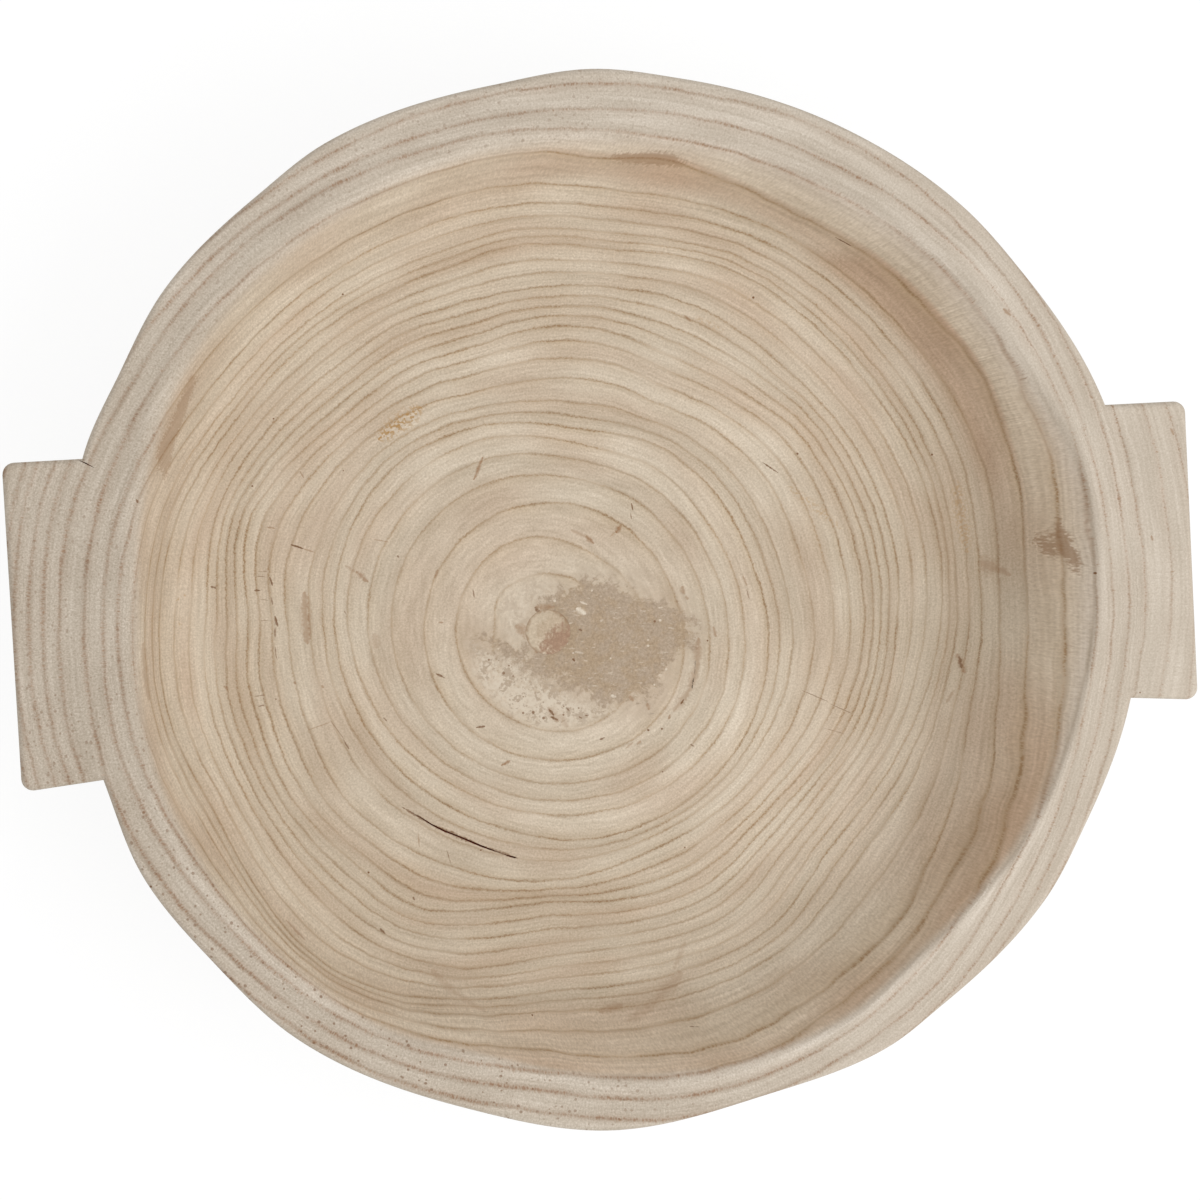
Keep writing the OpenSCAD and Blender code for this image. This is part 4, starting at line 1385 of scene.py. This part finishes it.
def plug_material():
    """Pale plug that reddens to its lower right, with filler on its right edge, and a dark brown edge and
    dark chips on its left that are partly painted shade of the crevice round it.
    """
    material, t, shader = start_material("plug wood")
    x, y, z = t.place()
    x = x - float(PITH[0])
    y = y - float(PITH[1])
    trunk = t.join(x, y, z * FIBRE_STRETCH)
    grain = t.noise(trunk, 0.5, 4, 0.65)
    uneven = grain - 0.5
    radius = t.length(x, y) + uneven * 5
    from_red = t.length((x + y + 0.4) * 0.45, (x - y - 7.2) * 0.8)
    red = t.step(from_red + uneven * 14, 7, 2.5)
    pale = t.step(radius, 3.5, 6) * t.step(x, 3, -2)
    outline = t.step(radius, 7.8, 8.9) * t.step(x - y, 8, 2)
    filled = t.step(x + uneven * 14, 5, 7.5)
    chipped = t.step(z, FLOOR_Z - 0.12, FLOOR_Z - 0.5)
    colour = t.mix(pale * 0.8, PLUG_LIGHT, PLUG_PALE)
    colour = t.mix(filled * 0.9, colour, FILLER_WARM)
    colour = t.mix(red * 0.9, colour, PLUG_RED)
    colour = t.fade(colour, t.spread(t.noise(trunk, 1, 2, 0.6), 0.35))
    # Dark brown edge on the left and upper side and in the chips: partly the plug's edge colour, partly
    # painted shade of the crevice and the chips
    colour = t.mix(outline * 0.6, colour, PLUG_EDGE_AND_CREVICE_SHADE)
    colour = t.mix(chipped * 0.85, colour, PLUG_EDGE_AND_CREVICE_SHADE)
    end_wood(t, shader, colour, grain, grain, PLUG_RELIEF)
    return material


FLOOR_PALE = (0.8, 0.8, 0.8, 1)
FLOOR_SOFT = (0.15, 0.15, 0.15, 1)
FLOOR_GLOW = 0.88


def floor_material():
    """Pale floor that shows white, with the object's shadow on it."""
    material, t, shader = start_material("studio floor")
    material.node_tree.nodes.remove(shader)
    pale = t.made("ShaderNodeBsdfDiffuse", {"Color": FLOOR_PALE})
    soft = t.made("ShaderNodeBsdfDiffuse", {"Color": FLOOR_SOFT})
    glow = t.made("ShaderNodeEmission", {"Strength": FLOOR_GLOW})
    white = t.made("ShaderNodeAddShader", {0: soft, 1: glow})
    both = t.made("ShaderNodeMixShader", {0: t.seen(), 1: pale, 2: white})
    t.put(material.node_tree.nodes["Material Output"].inputs["Surface"], both)
    return material


# Pieces on the frame


def dress(piece, node, material):
    piece.data.materials.clear()
    piece.data.materials.append(material)
    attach(piece, "root")
    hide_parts(node)


wood = wood_material("carved wood")
paste = wood_material("wood filler")
dress(make_bowl(), "bowl_body", wood)
dress(make_floor_filler(), "floor_filler", paste)
dress(make_base_filler(), "base_filler", paste)
dress(make_plug(), "pith_plug", plug_material())


# Floor, light and camera. The lamp's place and size are in metres.

FLOOR_HALF = 6000
FLOOR_DROP = 0.05
KEY_PLACE, KEY_SIZE, KEY_POWER = (0.86, -0.36, 1.3), 1.1, 10
WORLD_LIGHT = 0.74
CAMERA_TARGET = np.array([-4.1, 1, BOWL_H])
CAMERA_LEFT, CAMERA_BACK = math.radians(6), math.radians(2)
CAMERA_AWAY = 1500
CAMERA_LENS, CAMERA_SENSOR = 117.7, 36


def make_stage():
    corners = [[a * FLOOR_HALF, b * FLOOR_HALF, 0] for a, b in ((-1, -1), (1, -1), (1, 1), (-1, 1))]
    floor = mesh_object("floor", corners, [[0, 1, 2, 3]])
    floor.data.materials.append(floor_material())
    floor.location.z = -FLOOR_DROP * MM


def make_lamp(name, place, size, power):
    """Square lamp that faces the middle of the bowl."""
    data = bpy.data.lights.new(name, "AREA")
    data.size = size
    data.energy = power
    lamp = bpy.data.objects.new(name, data)
    lamp.location = place
    lamp.rotation_euler = (-Vector(place)).to_track_quat("-Z", "Y").to_euler()
    bpy.context.scene.collection.objects.link(lamp)


def make_camera():
    """Nearly straight down on the rim, leaning a little to the left and back."""
    lean_x, lean_y = -math.sin(CAMERA_LEFT), math.sin(CAMERA_BACK)
    back = np.array([lean_x, lean_y, math.sqrt(1 - lean_x**2 - lean_y**2)])
    right_way = np.cross([0, 1, 0], back)
    right_way /= np.linalg.norm(right_way)
    up_way = np.cross(back, right_way)
    camera = bpy.data.objects.new("camera", bpy.data.cameras.new("camera"))
    camera.data.lens = CAMERA_LENS
    camera.data.sensor_width = CAMERA_SENSOR
    place = (CAMERA_TARGET + CAMERA_AWAY * back) * MM
    turn = Matrix(np.stack([right_way, up_way, back], 1).tolist()).to_4x4()
    camera.matrix_world = Matrix.Translation(place.tolist()) @ turn
    bpy.context.scene.collection.objects.link(camera)
    bpy.context.scene.camera = camera


def make_world():
    """Even white light, and white where the camera sees past the floor."""
    world = bpy.data.worlds.new("studio")
    world.use_nodes = True
    t = Tree(world.node_tree)
    back = world.node_tree.nodes["Background"]
    back.inputs["Color"].default_value = (1, 1, 1, 1)
    t.put(back.inputs["Strength"], t.range(t.seen(), WORLD_LIGHT, 1))
    bpy.context.scene.world = world


make_stage()
make_lamp("key light", KEY_PLACE, KEY_SIZE, KEY_POWER)
make_world()
make_camera()
bpy.context.scene.view_settings.view_transform = "Standard"
